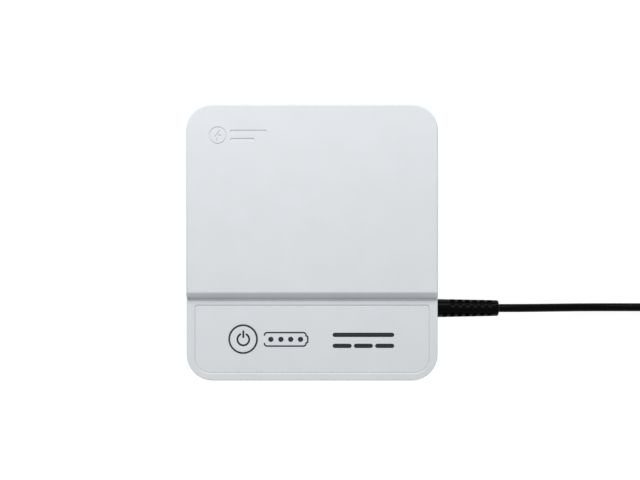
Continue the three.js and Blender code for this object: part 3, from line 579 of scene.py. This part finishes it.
# Straight out of the strain relief, down to the surface, and along it to the coil.
CORD_ROUTE = [
    (79.25, -27.8, 12),
    (87, -27.8, 11.45),
    (95, -27.8, 9.7),
    (103, -27.8, 6.9),
    (111, -27.8, 4.2),
    (119, -27.8, 2.35),
    (127, -27.8, 1.85),
    (135, -27.8, 1.85),
    (143, -27.8, 1.95),
    (150, -27.8, 2.15),
    (156.2, -27.8, 2.4),
    (163, -27.8, 2.6),
]
COIL_OUTER_TURN = COIL_MEAN_RADIUS + COIL_TURNS * COIL_PITCH / 2
COIL_INNER_TURN = COIL_MEAN_RADIUS - COIL_TURNS * COIL_PITCH / 2
COIL_CENTRE = (COIL_LOW + COIL_HIGH) / 2
COIL_LAYER_Z = [COIL_LOW.z + CORD_RADIUS, COIL_LOW.z + CORD_RADIUS + COIL_PITCH]
STEP_UP_TURN = 0.25
POINTS_PER_TURN = 24


def coil_points():
    """In along the surface for three turns, a quarter turn to climb, and out again on top."""
    total = 2 * COIL_TURNS + STEP_UP_TURN
    count = round(total * POINTS_PER_TURN)
    points = []
    for i in range(count + 1):
        turn = total * i / count
        if turn <= COIL_TURNS:
            radius, height = COIL_OUTER_TURN - COIL_PITCH * turn, COIL_LAYER_Z[0]
        elif turn <= COIL_TURNS + STEP_UP_TURN:
            climb = (turn - COIL_TURNS) / STEP_UP_TURN
            ease = climb * climb * (3 - 2 * climb)
            radius, height = COIL_INNER_TURN, COIL_LAYER_Z[0] + (COIL_LAYER_Z[1] - COIL_LAYER_Z[0]) * ease
        else:
            radius = COIL_INNER_TURN + COIL_PITCH * (turn - COIL_TURNS - STEP_UP_TURN)
            height = COIL_LAYER_Z[1]
        angle = 2 * math.pi * turn - math.pi / 2
        points.append((
            COIL_CENTRE.x + radius * math.cos(angle),
            COIL_CENTRE.y + radius * math.sin(angle),
            height,
        ))
    return points


def tail_points():
    """Off the top of the coil and straight into the plug."""
    x, y, z = PLUG_ORIGIN
    heights = [(5, 6.2), (10, 6), (15, 5.6), (21, 5.1)]  # against the distance from the coil's centre
    return [(x, COIL_CENTRE.y + away * MM, height * MM) for away, height in heights] + [(x, y - GAP, z)]


def make_cord():
    """One smooth tube along the whole route. Returns it with its first point and its length."""
    points = in_metres(CORD_ROUTE) + coil_points() + tail_points()
    length = sum((Vector(b) - Vector(a)).length for a, b in zip(points, points[1:]))
    curve = bpy.data.curves.new("output_cord_jacket", "CURVE")
    curve.dimensions = "3D"
    curve.bevel_depth = CORD_RADIUS
    curve.bevel_resolution = 5
    curve.resolution_u = 3
    curve.use_fill_caps = True
    spline = curve.splines.new("BEZIER")
    spline.bezier_points.add(len(points) - 1)
    for knot, point in zip(spline.bezier_points, points):
        knot.co = point
        knot.handle_left_type = "AUTO"
        knot.handle_right_type = "AUTO"
    curve.materials.append(MATERIALS["cord_jacket"])
    cord = bpy.data.objects.new("output_cord_jacket", curve)
    bpy.context.scene.collection.objects.link(cord)
    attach(cord, "case")
    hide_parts("output_cord", "cord_coil", "cord_tail")
    return cord, points[0], length


def make_plug():
    """Moulded barrel plug: a ribbed collar round the cord runs into a thicker grip with fine grooves."""
    collar_ribs, grip_grooves = 4, 5
    length = (PLUG_HIGH.y - PLUG_LOW.y) / MM
    radius = (PLUG_HIGH.x - PLUG_LOW.x) / 2 / MM
    groove_radius = radius - 0.35
    profile = [(0, 0), (2.1, 0), (2.25, 0.2)]
    for rib in range(collar_ribs):
        start = 0.7 + 1.3 * rib
        low = 1.95 + 0.12 * rib
        profile += [(low + 0.3, start), (low, start + 0.25), (low, start + 0.65), (low + 0.35, start + 0.9)]
    profile += [(2.75, 6.4), (4.3, 8.2), (radius - 0.2, 9.3), (radius, 9.9)]
    for groove in range(grip_grooves):
        start = 11.5 + 1.6 * groove
        profile += [(radius, start), (groove_radius, start + 0.3), (groove_radius, start + 0.6),
                    (radius, start + 0.9)]
    profile += [(radius, length - 0.9), (radius - 0.3, length - 0.25), (radius - 0.9, length), (0, length)]
    plug = turned("plug_grip", in_metres(profile), PLUG_ORIGIN, Vector((0, 1, 0)))
    return finish_piece(plug, "black_plastic", ("plug_body",))


def make_plug_sleeve(node, name, wall, slot):
    """One of the two coaxial sleeves of the plug's barrel, with softened rims."""
    low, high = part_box(node)
    outer = (high.x - low.x) / 2
    inner = outer - wall
    length = high.y - low.y
    rim = 0.15 * MM
    profile = [(inner, 0), (outer, 0), (outer, length - 1.5 * rim), (outer - rim, length),
               (inner + rim, length), (inner, length - rim), (inner, 0)]
    origin = Vector(((low.x + high.x) / 2, low.y, (low.z + high.z) / 2))
    sleeve = turned(name, profile, origin, Vector((0, 1, 0)))
    weld(sleeve)
    return finish_piece(sleeve, slot, (node,))


def make_cord_tie():
    """Hook and loop strap: a thin closed band round the coiled turns."""
    low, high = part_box("cord_tie")
    thickness = 0.6 * MM

    def loop(inset, low_round, high_round):
        corners = [(low.y + inset, low.z + inset), (high.y - inset, low.z + inset),
                   (high.y - inset, high.z - inset), (low.y + inset, high.z - inset)]
        return softened(corners, {0: low_round, 1: low_round, 2: high_round, 3: high_round})
    strap = across("cord_strap", loop(0, 1.2 * MM, 2 * MM), low.x, high.x)
    cut(strap, across("strap_opening", loop(thickness, 0.7 * MM, 1.5 * MM), low.x - MM, high.x + MM))
    return finish_piece(strap, "foam", ("cord_tie",), material=STRAP)


def make_strain_relief():
    """A tapered cage round the cord, with rows of windows between four spines, and a neck and a flange that
    hold it in the wall."""
    rows = 7
    first_window = 55.2 * MM
    pitch = 3.14 * MM
    window = 1.8 * MM
    wall_x = HALF_WIDTH + GAP
    collar_x = HALF_WIDTH - WALL - GAP
    end_x = RELIEF_HIGH.x
    start_radius, end_radius = 3.87 * MM, 3.35 * MM
    core_radius = 2.15 * MM
    start_chamfer = 0.35 * MM
    end_rounding = 0.7 * MM
    sides = 40
    spine_starts = (0, 13, 22, 30)
    spine_columns = 4
    closed_columns = {start + i for start in spine_starts for i in range(spine_columns)}
    turn = math.radians(-28)  # the spine in front leans towards -Y

    def outer_radius(x):
        return start_radius + (end_radius - start_radius) * (x - wall_x) / (end_x - wall_x)

    stations = [(wall_x, start_radius - start_chamfer), (wall_x + start_chamfer, start_radius)]
    window_rows = []
    for k in range(rows):
        x = first_window + pitch * k
        window_rows.append(len(stations))
        stations += [(x, outer_radius(x)), (x + window, outer_radius(x + window))]
    stations += [(end_x - end_rounding * back, end_radius - end_rounding * drop)
                 for back, drop in ((1, 0), (0.3, 0.3), (0, 1))]

    bm = bmesh.new()

    def ring(x, radius):
        angles = [turn + 2 * math.pi * i / sides for i in range(sides)]
        return [bm.verts.new((x, PORT_Y + radius * math.sin(a), PORT_Z + radius * math.cos(a)))
                for a in angles]

    outer = [ring(x, radius) for x, radius in stations]
    inner = [ring(x, core_radius) for x, _ in stations]

    def is_open(row, column):
        """The row next to the wall has a window on its -Y side only."""
        column %= sides
        if row == window_rows[0] and column < spine_starts[-1]:
            return False
        return row in window_rows and column not in closed_columns

    for row in range(len(stations) - 1):
        for i in range(sides):
            j = (i + 1) % sides
            if is_open(row, i):
                bm.faces.new((inner[row][i], inner[row][j], inner[row + 1][j], inner[row + 1][i]))
                for column, a, b in ((i - 1, i, i), (i + 1, j, j)):
                    if not is_open(row, column):
                        bm.faces.new((inner[row][a], outer[row][b], outer[row + 1][b], inner[row + 1][a]))
                bm.faces.new((inner[row][i], inner[row][j], outer[row][j], outer[row][i]))
                bm.faces.new((inner[row + 1][i], inner[row + 1][j], outer[row + 1][j], outer[row + 1][i]))
            else:
                bm.faces.new((outer[row][i], outer[row][j], outer[row + 1][j], outer[row + 1][i]))
    bm.faces.new(outer[-1])
    neck = ring(wall_x, RELIEF_NECK_RADIUS)
    neck_end = ring(collar_x, RELIEF_NECK_RADIUS)
    flange = ring(collar_x, RELIEF_FLANGE_RADIUS)
    flange_end = ring(RELIEF_LOW.x, RELIEF_FLANGE_RADIUS)
    for lower, upper in ((outer[0], neck), (neck, neck_end), (neck_end, flange), (flange, flange_end)):
        for i in range(sides):
            j = (i + 1) % sides
            bm.faces.new((lower[i], lower[j], upper[j], upper[i]))
    bm.faces.new(flange_end)
    loose = [vert for vert in bm.verts if not vert.link_faces]
    bmesh.ops.delete(bm, geom=loose, context="VERTS")
    relief = new_object("strain_relief_cage", bm)
    soften_edges(relief, 0.16 * MM, 35)
    settle(relief)
    return finish_piece(relief, "black_rubber", ("strain_relief",))


cord, cord_exit, cord_length = make_cord()
cord_pieces = [
    make_plug(),
    make_cord_tie(),
    make_strain_relief(),
    make_plug_sleeve("plug_barrel", "plug_sleeve", 0.8 * MM, "nickel"),
    make_plug_sleeve("plug_insulator", "plug_lining", 0.6 * MM, "black_plastic"),
]


# ---- shells

CASE_SCREWS = in_metres([(44, 49), (-44, 49), (-44, -49), (44, -49)])
BOARD_SCREWS = in_metres([(-34, -49.5), (40, -40), (-43, -13)])
FEET = in_metres([(34, 49), (-34, 49), (-34, -49), (34, -49)])
FOOT_RADIUS = 5 * MM


def rod(name, x, y, radius, z_low, z_high, low_round=0, high_round=0, sides=48):
    """An upright cylinder, its rims rounded or flared as a slab's."""
    def outline(inset):
        return circle_outline(x, y, radius - inset, sides)
    return slab(name, outline, z_low, z_high, low_round, high_round, 4)


def port_holes():
    """The round holes for the strain relief and the input socket, through the side walls."""
    start_x = HALF_WIDTH - 4 * MM
    depth = 5 * MM
    flare, flare_start = 0.5 * MM, 3.6 * MM
    relief = RELIEF_NECK_RADIUS + GAP
    socket = JACK_NOSE_RADIUS + GAP
    relief_profile = [(0, 0), (relief, 0), (relief, depth), (0, depth)]
    socket_profile = [(0, 0), (socket, 0), (socket, flare_start), (socket + flare, flare_start + flare),
                      (socket + flare, depth), (0, depth)]
    return [
        turned("relief_hole", relief_profile, Vector((start_x, PORT_Y, PORT_Z)), Vector((1, 0, 0))),
        turned("socket_hole", socket_profile, Vector((-start_x, PORT_Y, PORT_Z)), Vector((-1, 0, 0))),
    ]


def emblem_cutters():
    """Generic debossed sign: a lightning bolt in a ring, and two plain bars beside it."""
    low, high = TOP_Z - 0.35 * MM, TOP_Z + 0.2 * MM
    centre_x, centre_y = -39.25, 44.5
    bolt = [(0.9, 2.5), (-1.5, -0.35), (-0.15, -0.35), (-0.9, -2.5), (1.5, 0.45), (0.15, 0.45)]
    bolt_points = in_metres([(centre_x + x, centre_y + y) for x, y in bolt])
    bolt_cutter = loft("bolt", [[(x, y, z) for x, y in bolt_points] for z in (low, high)])
    ring_points = circle_outline(centre_x * MM, centre_y * MM, 3.45 * MM)
    ring_cutter = ribbon("ring", ring_points, 0.75 * MM, low, high, closed=True)
    bar_start = -33.35
    bars = []
    for y, bar_end in ((46.2, -19.65), (42.8, -24.65)):
        bars.append(ribbon("bar", in_metres([(bar_start, y), (bar_end, y)]), 1.5 * MM, low, high))
    return [bolt_cutter, ring_cutter, *bars]


def seam_outline(inset):
    """The line of the seam round the control panel, drawn in by inset."""
    grow = PANEL_SEAM_LINE - inset
    return rounded_outline(PANEL_HIGH.x + grow, PANEL_LOW.y - grow, PANEL_HIGH.y + grow,
                           PANEL_LOW_CORNER + grow, PANEL_HIGH_CORNER + grow, 12)


def upper_body():
    """The high part of the front cover, ending in the slanted face."""
    body = slab("upper_body", case_outline, FRONT_BOTTOM_Z, TOP_Z, high_round=TOP_ROUND)
    end = HALF_LENGTH + MM
    low = FRONT_BOTTOM_Z - MM
    just_above = TOP_Z + 0.002 * MM
    side = softened(
        [(end, low), (end, TOP_Z + MM), (STEP_Y, just_above), (STEP_FOOT_Y, DECK_Z), (STEP_FOOT_Y, low)],
        {2: STEP_EDGE_ROUND},
    )
    keep = across("upper_keep", side, -HALF_WIDTH - MM, HALF_WIDTH + MM)
    return combine(body, [keep], "INTERSECT")


def foot_groove():
    """Fine groove along the foot of the slanted face."""
    low = DECK_Z - FOOT_GROOVE_DEPTH
    high = DECK_Z + MM
    near = STEP_FOOT_Y - FOOT_GROOVE_WIDTH
    far = near - FOOT_GROOVE_FLARE
    profile = [(STEP_FOOT_Y, high), (STEP_FOOT_Y, low), (near, low), (far, DECK_Z), (far, high)]
    end = HALF_WIDTH - FOOT_GROOVE_END
    return across("foot_groove", profile, -end, end)


def cavities():
    """The space inside the front cover, under the lower and under the upper deck."""
    def upper(inset):
        radius = CORNER_RADIUS - WALL
        return rounded_outline(HALF_WIDTH - WALL, STEP_Y + WALL, HALF_LENGTH - WALL, 0.5 * MM, radius)
    return [
        slab("lower_cavity", inner_outline, FRONT_BOTTOM_Z - MM, LOWER_CEILING_Z),
        slab("upper_cavity", upper, FRONT_BOTTOM_Z - 2 * MM, TOP_Z - WALL),
    ]


def make_front_cover():
    """The stepped upper shell with its screw posts, and every hole and groove cut into it."""
    post_radius, pilot_top = 3.4 * MM, 19.2 * MM
    cover = slab("front_cover_shell", case_outline, FRONT_BOTTOM_Z, DECK_Z, high_round=DECK_ROUND)
    join(cover, upper_body())
    cut(cover, *cavities())
    posts = []
    for x, y in CASE_SCREWS:
        ceiling = TOP_Z - WALL if y > 0 else LOWER_CEILING_Z
        posts.append(rod("post", x, y, post_radius, FRONT_BOTTOM_Z + OFF_PLANE, ceiling + OVERLAP, sides=24))
    join(cover, *posts)
    pilots = [rod("pilot", x, y, SCREW_HOLE_RADIUS, FRONT_BOTTOM_Z - MM, pilot_top, sides=24)
              for x, y in CASE_SCREWS]

    pocket = loft("panel_pocket", [[(x, y, z) for x, y in seam_outline(inset)] for inset, z in (
        (-PANEL_SEAM / 2, PANEL_LOW.z - GAP),
        (-PANEL_SEAM / 2, PANEL_SEAM_Z),
        (-POCKET_BEVEL, DECK_Z + OFF_PLANE),
        (-POCKET_BEVEL, DECK_Z + MM),
    )])
    hole_low = LOWER_CEILING_Z - MM
    button_hole = rod("button_hole", BUTTON.x, BUTTON.y, BUTTON_HOLE_RADIUS, hole_low, DECK_Z)
    lamp_holes = [rod("lamp_hole", x, LAMP_Y, LAMP_HOLE_RADIUS, hole_low, DECK_Z, sides=24) for x in LAMP_X]
    cut(cover, *pilots, pocket, button_hole, *lamp_holes, foot_groove(), *port_holes(), *emblem_cutters())
    return finish_piece(cover, "white_plastic", ("front_cover",))


def rim_tongue():
    """Tongue inside the rim that closes the parting line, with a notch at either port."""
    def ring_at(inset):
        return lambda _: case_outline(inset)
    tongue = slab("tongue", ring_at(WALL + GAP), TONGUE_LOW_Z, TONGUE_HIGH_Z)
    join(tongue, slab("tongue_root", ring_at(WALL - OVERLAP), TONGUE_LOW_Z, REAR_SHELL_TOP - OFF_PLANE))
    low, high = TONGUE_LOW_Z - 0.5 * MM, TONGUE_HIGH_Z + 0.5 * MM
    cut(tongue, slab("tongue_room", ring_at(WALL + GAP + TONGUE_THICKNESS), low, high))
    notch_half = RELIEF_FLANGE_RADIUS + MM
    outline = [(PORT_Y - notch_half, low), (PORT_Y + notch_half, low), (PORT_Y + notch_half, high),
               (PORT_Y - notch_half, high)]
    inner_x, left_x, right_x = HALF_WIDTH - 3.7 * MM, HALF_WIDTH - 1.7 * MM, HALF_WIDTH - WALL - OFF_PLANE
    return cut(tongue, across("left_notch", outline, -left_x, -inner_x),
               across("right_notch", outline, inner_x, right_x))


def vent_cutters():
    """A row of slots through the floor under the board."""
    slots, pitch, half_width, corner = 7, 6 * MM, 0.8 * MM, 0.79 * MM
    y_low, y_high = -46 * MM, -30 * MM

    def outline_at(x):
        def outline(inset):
            radius = corner - inset
            points = rounded_outline(half_width - inset, y_low + inset, y_high - inset, radius, radius, 6)
            return [(x + px, py) for px, py in points]
        return outline
    places = [(i - (slots - 1) / 2) * pitch for i in range(slots)]
    return [slab("vent", outline_at(x), REAR_LOW.z - OFF_PLANE, FLOOR_Z + MM, -0.25 * MM, steps=3)
            for x in places]


def label_outline(inset):
    """The outline of the label on the back, drawn in by inset."""
    half_width, half_height = 30 * MM - inset, 17 * MM - inset
    radius = 2 * MM - inset
    return rounded_outline(half_width, -half_height, half_height, radius, radius, 8)


def make_rear_cover():
    """The lower shell, with its posts, tongue, wells, vents and the label's recess."""
    post_radius, board_post_radius, board_post_top = 3.6 * MM, 2.8 * MM, 4.9 * MM
    head_radius, head_top, board_pilot_radius = 2.9 * MM, 4.5 * MM, 1.4 * MM
    foot_well_top, recess_top = 1.6 * MM, 1.5 * MM
    outside = REAR_LOW.z - OFF_PLANE
    cover = slab("rear_cover_shell", case_outline, REAR_LOW.z, REAR_SHELL_TOP, low_round=REAR_ROUND)

    def recess_outline(inset):
        return label_outline(inset - GAP)
    cut(cover, slab("rear_cavity", inner_outline, FLOOR_Z, REAR_SHELL_TOP + MM))
    root_z = FLOOR_Z - OVERLAP
    posts = [rod("rear_post", x, y, post_radius, root_z, REAR_SHELL_TOP - 2 * OFF_PLANE, sides=24)
             for x, y in CASE_SCREWS]
    board_posts = [rod("board_post", x, y, board_post_radius, root_z, board_post_top, sides=24)
                   for x, y in BOARD_SCREWS]
    join(cover, rim_tongue(), *posts, *board_posts)
    wells = []
    for x, y in CASE_SCREWS:
        wells.append(rod("head_well", x, y, head_radius, outside, head_top, low_round=-0.3 * MM))
        wells.append(rod("shank_hole", x, y, SCREW_HOLE_RADIUS, 0, REAR_SHELL_TOP + MM, sides=24))
    for x, y in BOARD_SCREWS:
        wells.append(rod("board_pilot", x, y, board_pilot_radius, FLOOR_Z, 6 * MM, sides=24))
    for x, y in FEET:
        wells.append(rod("foot_well", x, y, FOOT_RADIUS + GAP, outside, foot_well_top, low_round=-0.2 * MM))
    recess = slab("label_recess", recess_outline, outside, recess_top, low_round=-0.2 * MM, steps=3)
    cut(cover, *wells, recess, *vent_cutters(), *port_holes())
    return finish_piece(cover, "white_plastic", ("rear_cover",))


def make_label():
    """Blank self-adhesive label with a printed frame and rules."""
    low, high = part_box("rating_label")
    label = slab("rating_label_film", label_outline, low.z, high.z, low_round=0.06 * MM, steps=2)
    finish_piece(label, "label_film", ("rating_label",))
    ink_low, ink_high = low.z - INK, low.z + INK
    lines = [ribbon("frame", label_outline(1.6 * MM), 0.35 * MM, ink_low, ink_high, closed=True)]
    for y in (8.5, 2.8, -2.8, -8.5):
        lines.append(ribbon("rule", in_metres([(-27, y), (8, y)]), 0.3 * MM, ink_low, ink_high))
    for radius in (6, 2.2):
        ring = circle_outline(18.5 * MM, 0, radius * MM, 48)
        lines.append(ribbon("ring", ring, 0.5 * MM, ink_low, ink_high, closed=True))
    finish_piece(merged("rating_label_print", lines), "label_film", material=PRINT_INK)


def make_feet():
    """Round rubber feet with a shallow dish in each."""
    for i, (x, y) in enumerate(FEET):
        node = f"rubber_foot_{i + 1}"
        low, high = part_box(node)
        foot = rod(f"{node}_pad", x, y, FOOT_RADIUS, low.z, high.z, low_round=0.35 * MM)
        dish = rod("dish", x, y, 3.2 * MM, low.z - OFF_PLANE, low.z + 0.25 * MM, low_round=-0.2 * MM)
        cut(foot, dish)
        finish_piece(foot, "black_rubber", (node,))


def make_input_jack():
    """Moulded power socket: a block behind the wall with a round nose through it, open to the pin."""
    low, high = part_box("dc_input_jack")
    body_x = -HALF_WIDTH + WALL + GAP
    origin = Vector((low.x, PORT_Y, PORT_Z))
    inward = Vector((1, 0, 0))
    body_outline = softened([(low.y, low.z), (high.y, low.z), (high.y, high.z), (low.y, high.z)],
                            {i: 0.4 * MM for i in range(4)}, 3)
    jack = across("input_jack_moulding", body_outline, body_x, high.x)
    rim, nose, socket, seat = 0.3 * MM, JACK_NOSE_RADIUS, JACK_SOCKET_RADIUS, 1.3 * MM
    mouth = socket + 0.25 * MM
    nose_end = body_x - low.x + MM
    socket_end = JACK_SOCKET_END_X - low.x
    seat_end = socket_end + 2 * MM
    join(jack, turned("nose", [(0, 0), (nose - rim, 0), (nose, rim), (nose, nose_end), (0, nose_end)],
                      origin, inward, 64))
    bore = [(0, -MM), (mouth, -MM), (mouth, 0), (socket, rim), (socket, socket_end), (0, socket_end)]
    pin_seat = [(0, 0), (seat, 0), (seat, seat_end), (0, seat_end)]
    cut(jack, turned("bore", bore, origin, inward, 64), turned("pin_seat", pin_seat, origin, inward, 32))
    finish_piece(jack, "black_plastic", ("dc_input_jack",))
    pin_low, pin_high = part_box("dc_jack_pin")
    length = pin_high.x - pin_low.x
    radius = (pin_high.z - pin_low.z) / 2
    pin = turned("jack_pin", [(0, 0), (0.5 * radius, 0.1 * MM), (0.87 * radius, 0.45 * MM), (radius, MM),
                              (radius, length), (0, length)],
                 Vector((pin_low.x, PORT_Y, PORT_Z)), inward, 32)
    finish_piece(pin, "nickel", ("dc_jack_pin",))


make_front_cover()
make_rear_cover()
make_label()
make_feet()
make_input_jack()


# ---- controls

def make_panel():
    """The plate let into the lower deck, with holes for the button and the lamps."""
    hole_low, hole_high = PANEL_LOW.z - MM, PANEL_TOP_Z + OFF_PLANE
    panel = loft("control_panel_plate", [[(x, y, z) for x, y in seam_outline(inset)] for inset, z in (
        (PANEL_SEAM / 2, PANEL_LOW.z),
        (PANEL_SEAM / 2, PANEL_SEAM_Z),
        (PANEL_BEVEL, PANEL_TOP_Z),
    )])
    button_hole = rod("button_hole", BUTTON.x, BUTTON.y, BUTTON_HOLE_RADIUS, hole_low, hole_high,
                      high_round=-0.12 * MM, sides=96)
    lamp_holes = [rod("lamp_hole", x, LAMP_Y, LAMP_HOLE_RADIUS, hole_low, hole_high,
                      high_round=-0.05 * MM, sides=32) for x in LAMP_X]
    cut(panel, button_hole, *lamp_holes)
    return finish_piece(panel, "panel_plastic", ("control_panel",))


def make_button():
    """Cap with a softly dished top, on its flange and stem."""
    top = BUTTON_HIGH.z
    stem_radius = 2.2 * MM
    flange_radius = BUTTON_HIGH.x - BUTTON.x
    flange_top = LOWER_CEILING_Z - GAP
    flange_low = flange_top - 1.3 * MM
    profile = [
        (0, BUTTON_LOW.z),
        (stem_radius, BUTTON_LOW.z),
        (stem_radius, flange_low),
        (flange_radius, flange_low),
        (flange_radius, flange_top),
        (BUTTON_RADIUS, flange_top),
        (BUTTON_RADIUS, top - 0.3 * MM),
        (BUTTON_RADIUS - 0.09 * MM, top - 0.09 * MM),
        (BUTTON_RADIUS - 0.3 * MM, top),
    ]
    for radius in (4.6, 3.4, 2.2, 1):
        share = 1 - (radius * MM / BUTTON_RADIUS) ** 2
        profile.append((radius * MM, top - BUTTON_DISH * share))
    profile.append((0, top - BUTTON_DISH))
    button = turned("power_button_cap", profile, Vector((BUTTON.x, BUTTON.y, 0)), Vector((0, 0, 1)), 96)
    return finish_piece(button, "panel_plastic", ("power_button",), "button")


def make_button_print():
    """The dark ring round the cap's rim and the standby sign."""
    top = BUTTON_HIGH.z
    skin = 0.015 * MM
    inside = 5.42 * MM
    rim = [(inside, top - 0.06 * MM), (inside, top + 0.5 * skin), (5.6 * MM, top + 0.5 * skin),
           (5.77 * MM, top - 0.08 * MM), (BUTTON_RADIUS + skin, top - 0.28 * MM),
           (BUTTON_RADIUS + skin, top - 0.5 * MM), (5.7 * MM, top - 0.5 * MM), (inside, top - 0.06 * MM)]
    ring = turned("rim", rim, Vector((BUTTON.x, BUTTON.y, 0)), Vector((0, 0, 1)), 96)
    weld(ring)
    x, y = BUTTON.x + 0.1 * MM, BUTTON.y - 0.1 * MM
    low, high = top - BUTTON_DISH - 0.05 * MM, top - BUTTON_DISH + 0.05 * MM
    line = 0.78 * MM
    sign = ribbon("sign", arc((x, y), 2.47 * MM, 120, 420), line, low, high)
    bar = ribbon("bar", [(x, y + 3.45 * MM), (x, y + 0.95 * MM)], line, low, high)
    print_piece = merged("power_button_print", [ring, sign, bar])
    return finish_piece(print_piece, "panel_plastic", body="button", material=PRINT_INK)


def battery_sign():
    """A cell outline, open at its left end, with a terminal nub at its right."""
    low, high = PANEL_TOP_Z - INK, PANEL_TOP_Z + INK
    left, right, top, bottom = -19.95 * MM, -2.55 * MM, -37.66 * MM, -43.3 * MM
    nub_right, nub_top, nub_bottom = -1.83 * MM, LAMP_Y + 1.35 * MM, LAMP_Y - 1.35 * MM
    corner = 1.15 * MM
    right_side = softened(
        [(left + corner, top), (right, top), (right, nub_top), (nub_right, nub_top),
         (nub_right, nub_bottom), (right, nub_bottom), (right, bottom), (left + corner, bottom)],
        {1: 1.25 * MM, 2: 0.3 * MM, 3: 0.35 * MM, 4: 0.35 * MM, 5: 0.3 * MM, 6: 1.25 * MM},
    )
    top_left = arc((left + corner, top - corner), corner, 175, 90, 8)
    bottom_left = arc((left + corner, bottom + corner), corner, 270, 185, 8)
    return ribbon("battery_outline", top_left + right_side[1:-1] + bottom_left, 0.62 * MM, low, high)


def direct_current_sign():
    """The usual sign for direct current: a solid bar over three dashes."""
    low, high = PANEL_TOP_Z - INK, PANEL_TOP_Z + INK
    left, length, dash, space, line = 9.45, 24, 6.2, 2.7, 1.8 * MM
    bar_y, dash_y = -38.6, -43.2
    bars = [ribbon("bar", in_metres([(left, bar_y), (left + length, bar_y)]), line, low, high)]
    for i in range(3):
        x = left + i * (dash + space)
        bars.append(ribbon("dash", in_metres([(x, dash_y), (x + dash, dash_y)]), line, low, high))
    return bars


def make_panel_print():
    """Both signs on the panel as one printed piece."""
    signs = [battery_sign(), *direct_current_sign()]
    return finish_piece(merged("control_panel_print", signs), "panel_plastic", material=PRINT_INK)


def make_light_guide():
    """Smoked moulding whose four pins fill the lamp windows with slightly domed ends."""
    low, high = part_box("light_guide")
    bar_top = LOWER_CEILING_Z - GAP
    bar_low = bar_top - 1.8 * MM
    corner = 1.2 * MM

    def bar_outline(inset):
        half_width = (high.x - low.x) / 2 - inset
        centre = (low.x + high.x) / 2
        points = rounded_outline(half_width, low.y + inset, high.y - inset, corner, corner, 6)
        return [(x + centre, y) for x, y in points]
    guide = slab("light_guide_moulding", bar_outline, bar_low, bar_top, 0.2 * MM, 0.2 * MM, 2)
    pins = []
    for x in LAMP_X:
        pins.append(rod("pin", x, LAMP_Y, LAMP_PIN_RADIUS, bar_top - OVERLAP, high.z, 0, 0.12 * MM, 32))
        pins.append(rod("leg", x, LAMP_Y, 1 * MM, low.z, bar_low + 0.3 * MM, 0.15 * MM, 0, 24))
    join(guide, *pins)
    return finish_piece(guide, "smoked_plastic", ("light_guide",))


make_panel()
make_button()
make_button_print()
make_panel_print()
make_light_guide()


# ---- carried-over pieces

def dress_cad_nodes():
    """Every CAD node that still shows gets its slot's material and softened edges."""
    slot_of = {entry["node"]: entry["material_slot"] for entry in frame["record"]["subparts"]}
    for node, obj in frame["nodes"].items():
        if obj.hide_render:
            continue
        obj.data.materials.clear()
        obj.data.materials.append(MATERIALS[slot_of[node]])
        soften_edges(obj, 0.08 * MM, 50)
        shade(obj)


dress_cad_nodes()


# ---- stage

def make_floor():
    """A plain floor that glows almost white, so that hardly any shadow shows on it."""
    half = 3.0
    bm = bmesh.new()
    bm.faces.new([bm.verts.new((x * half, y * half, 0)) for x, y in ((-1, -1), (1, -1), (1, 1), (-1, 1))])
    floor = new_object("floor", bm)
    surface = Surface("floor_paper", 0.8, specular=0.1)
    tone = surface.noise(0.4, 2)
    surface.drive("Base Color", surface.ramp(tone, [(0.3, 0.14), (0.7, 0.16)]))
    surface.shader.inputs["Emission Color"].default_value = (1, 1, 1, 1)
    surface.shader.inputs["Emission Strength"].default_value = 0.92
    floor.data.materials.append(surface.material)
    floor.location.z = -0.02 * MM


def add_area_light(name, location, target, width, height, power):
    """A rectangular light at a place, turned to a target."""
    data = bpy.data.lights.new(name, "AREA")
    data.shape = "RECTANGLE"
    data.size = width
    data.size_y = height
    data.energy = power
    light = bpy.data.objects.new(name, data)
    light.location = location
    direction = Vector(target) - Vector(location)
    light.rotation_mode = "QUATERNION"
    light.rotation_quaternion = direction.to_track_quat("-Z", "Y")
    bpy.context.scene.collection.objects.link(light)


def make_lights():
    """An even white room, a soft key light and a small strip light for the cord."""
    world = bpy.data.worlds.new("studio")
    bpy.context.scene.world = world
    world.use_nodes = True
    world.node_tree.nodes["Background"].inputs["Color"].default_value = (1, 1, 1, 1)
    world.node_tree.nodes["Background"].inputs["Strength"].default_value = 0.54
    add_area_light("key", (-0.09, 0.33, 0.4), (0, 0, 0), 0.26, 0.26, 1.6)
    add_area_light("strip_over_the_cord", (0.15, 0.42, 0.35), (0.1, PORT_Y, 0), 0.16, 0.08, 0.4)


make_floor()
make_lights()
bpy.context.scene.view_settings.view_transform = "Standard"
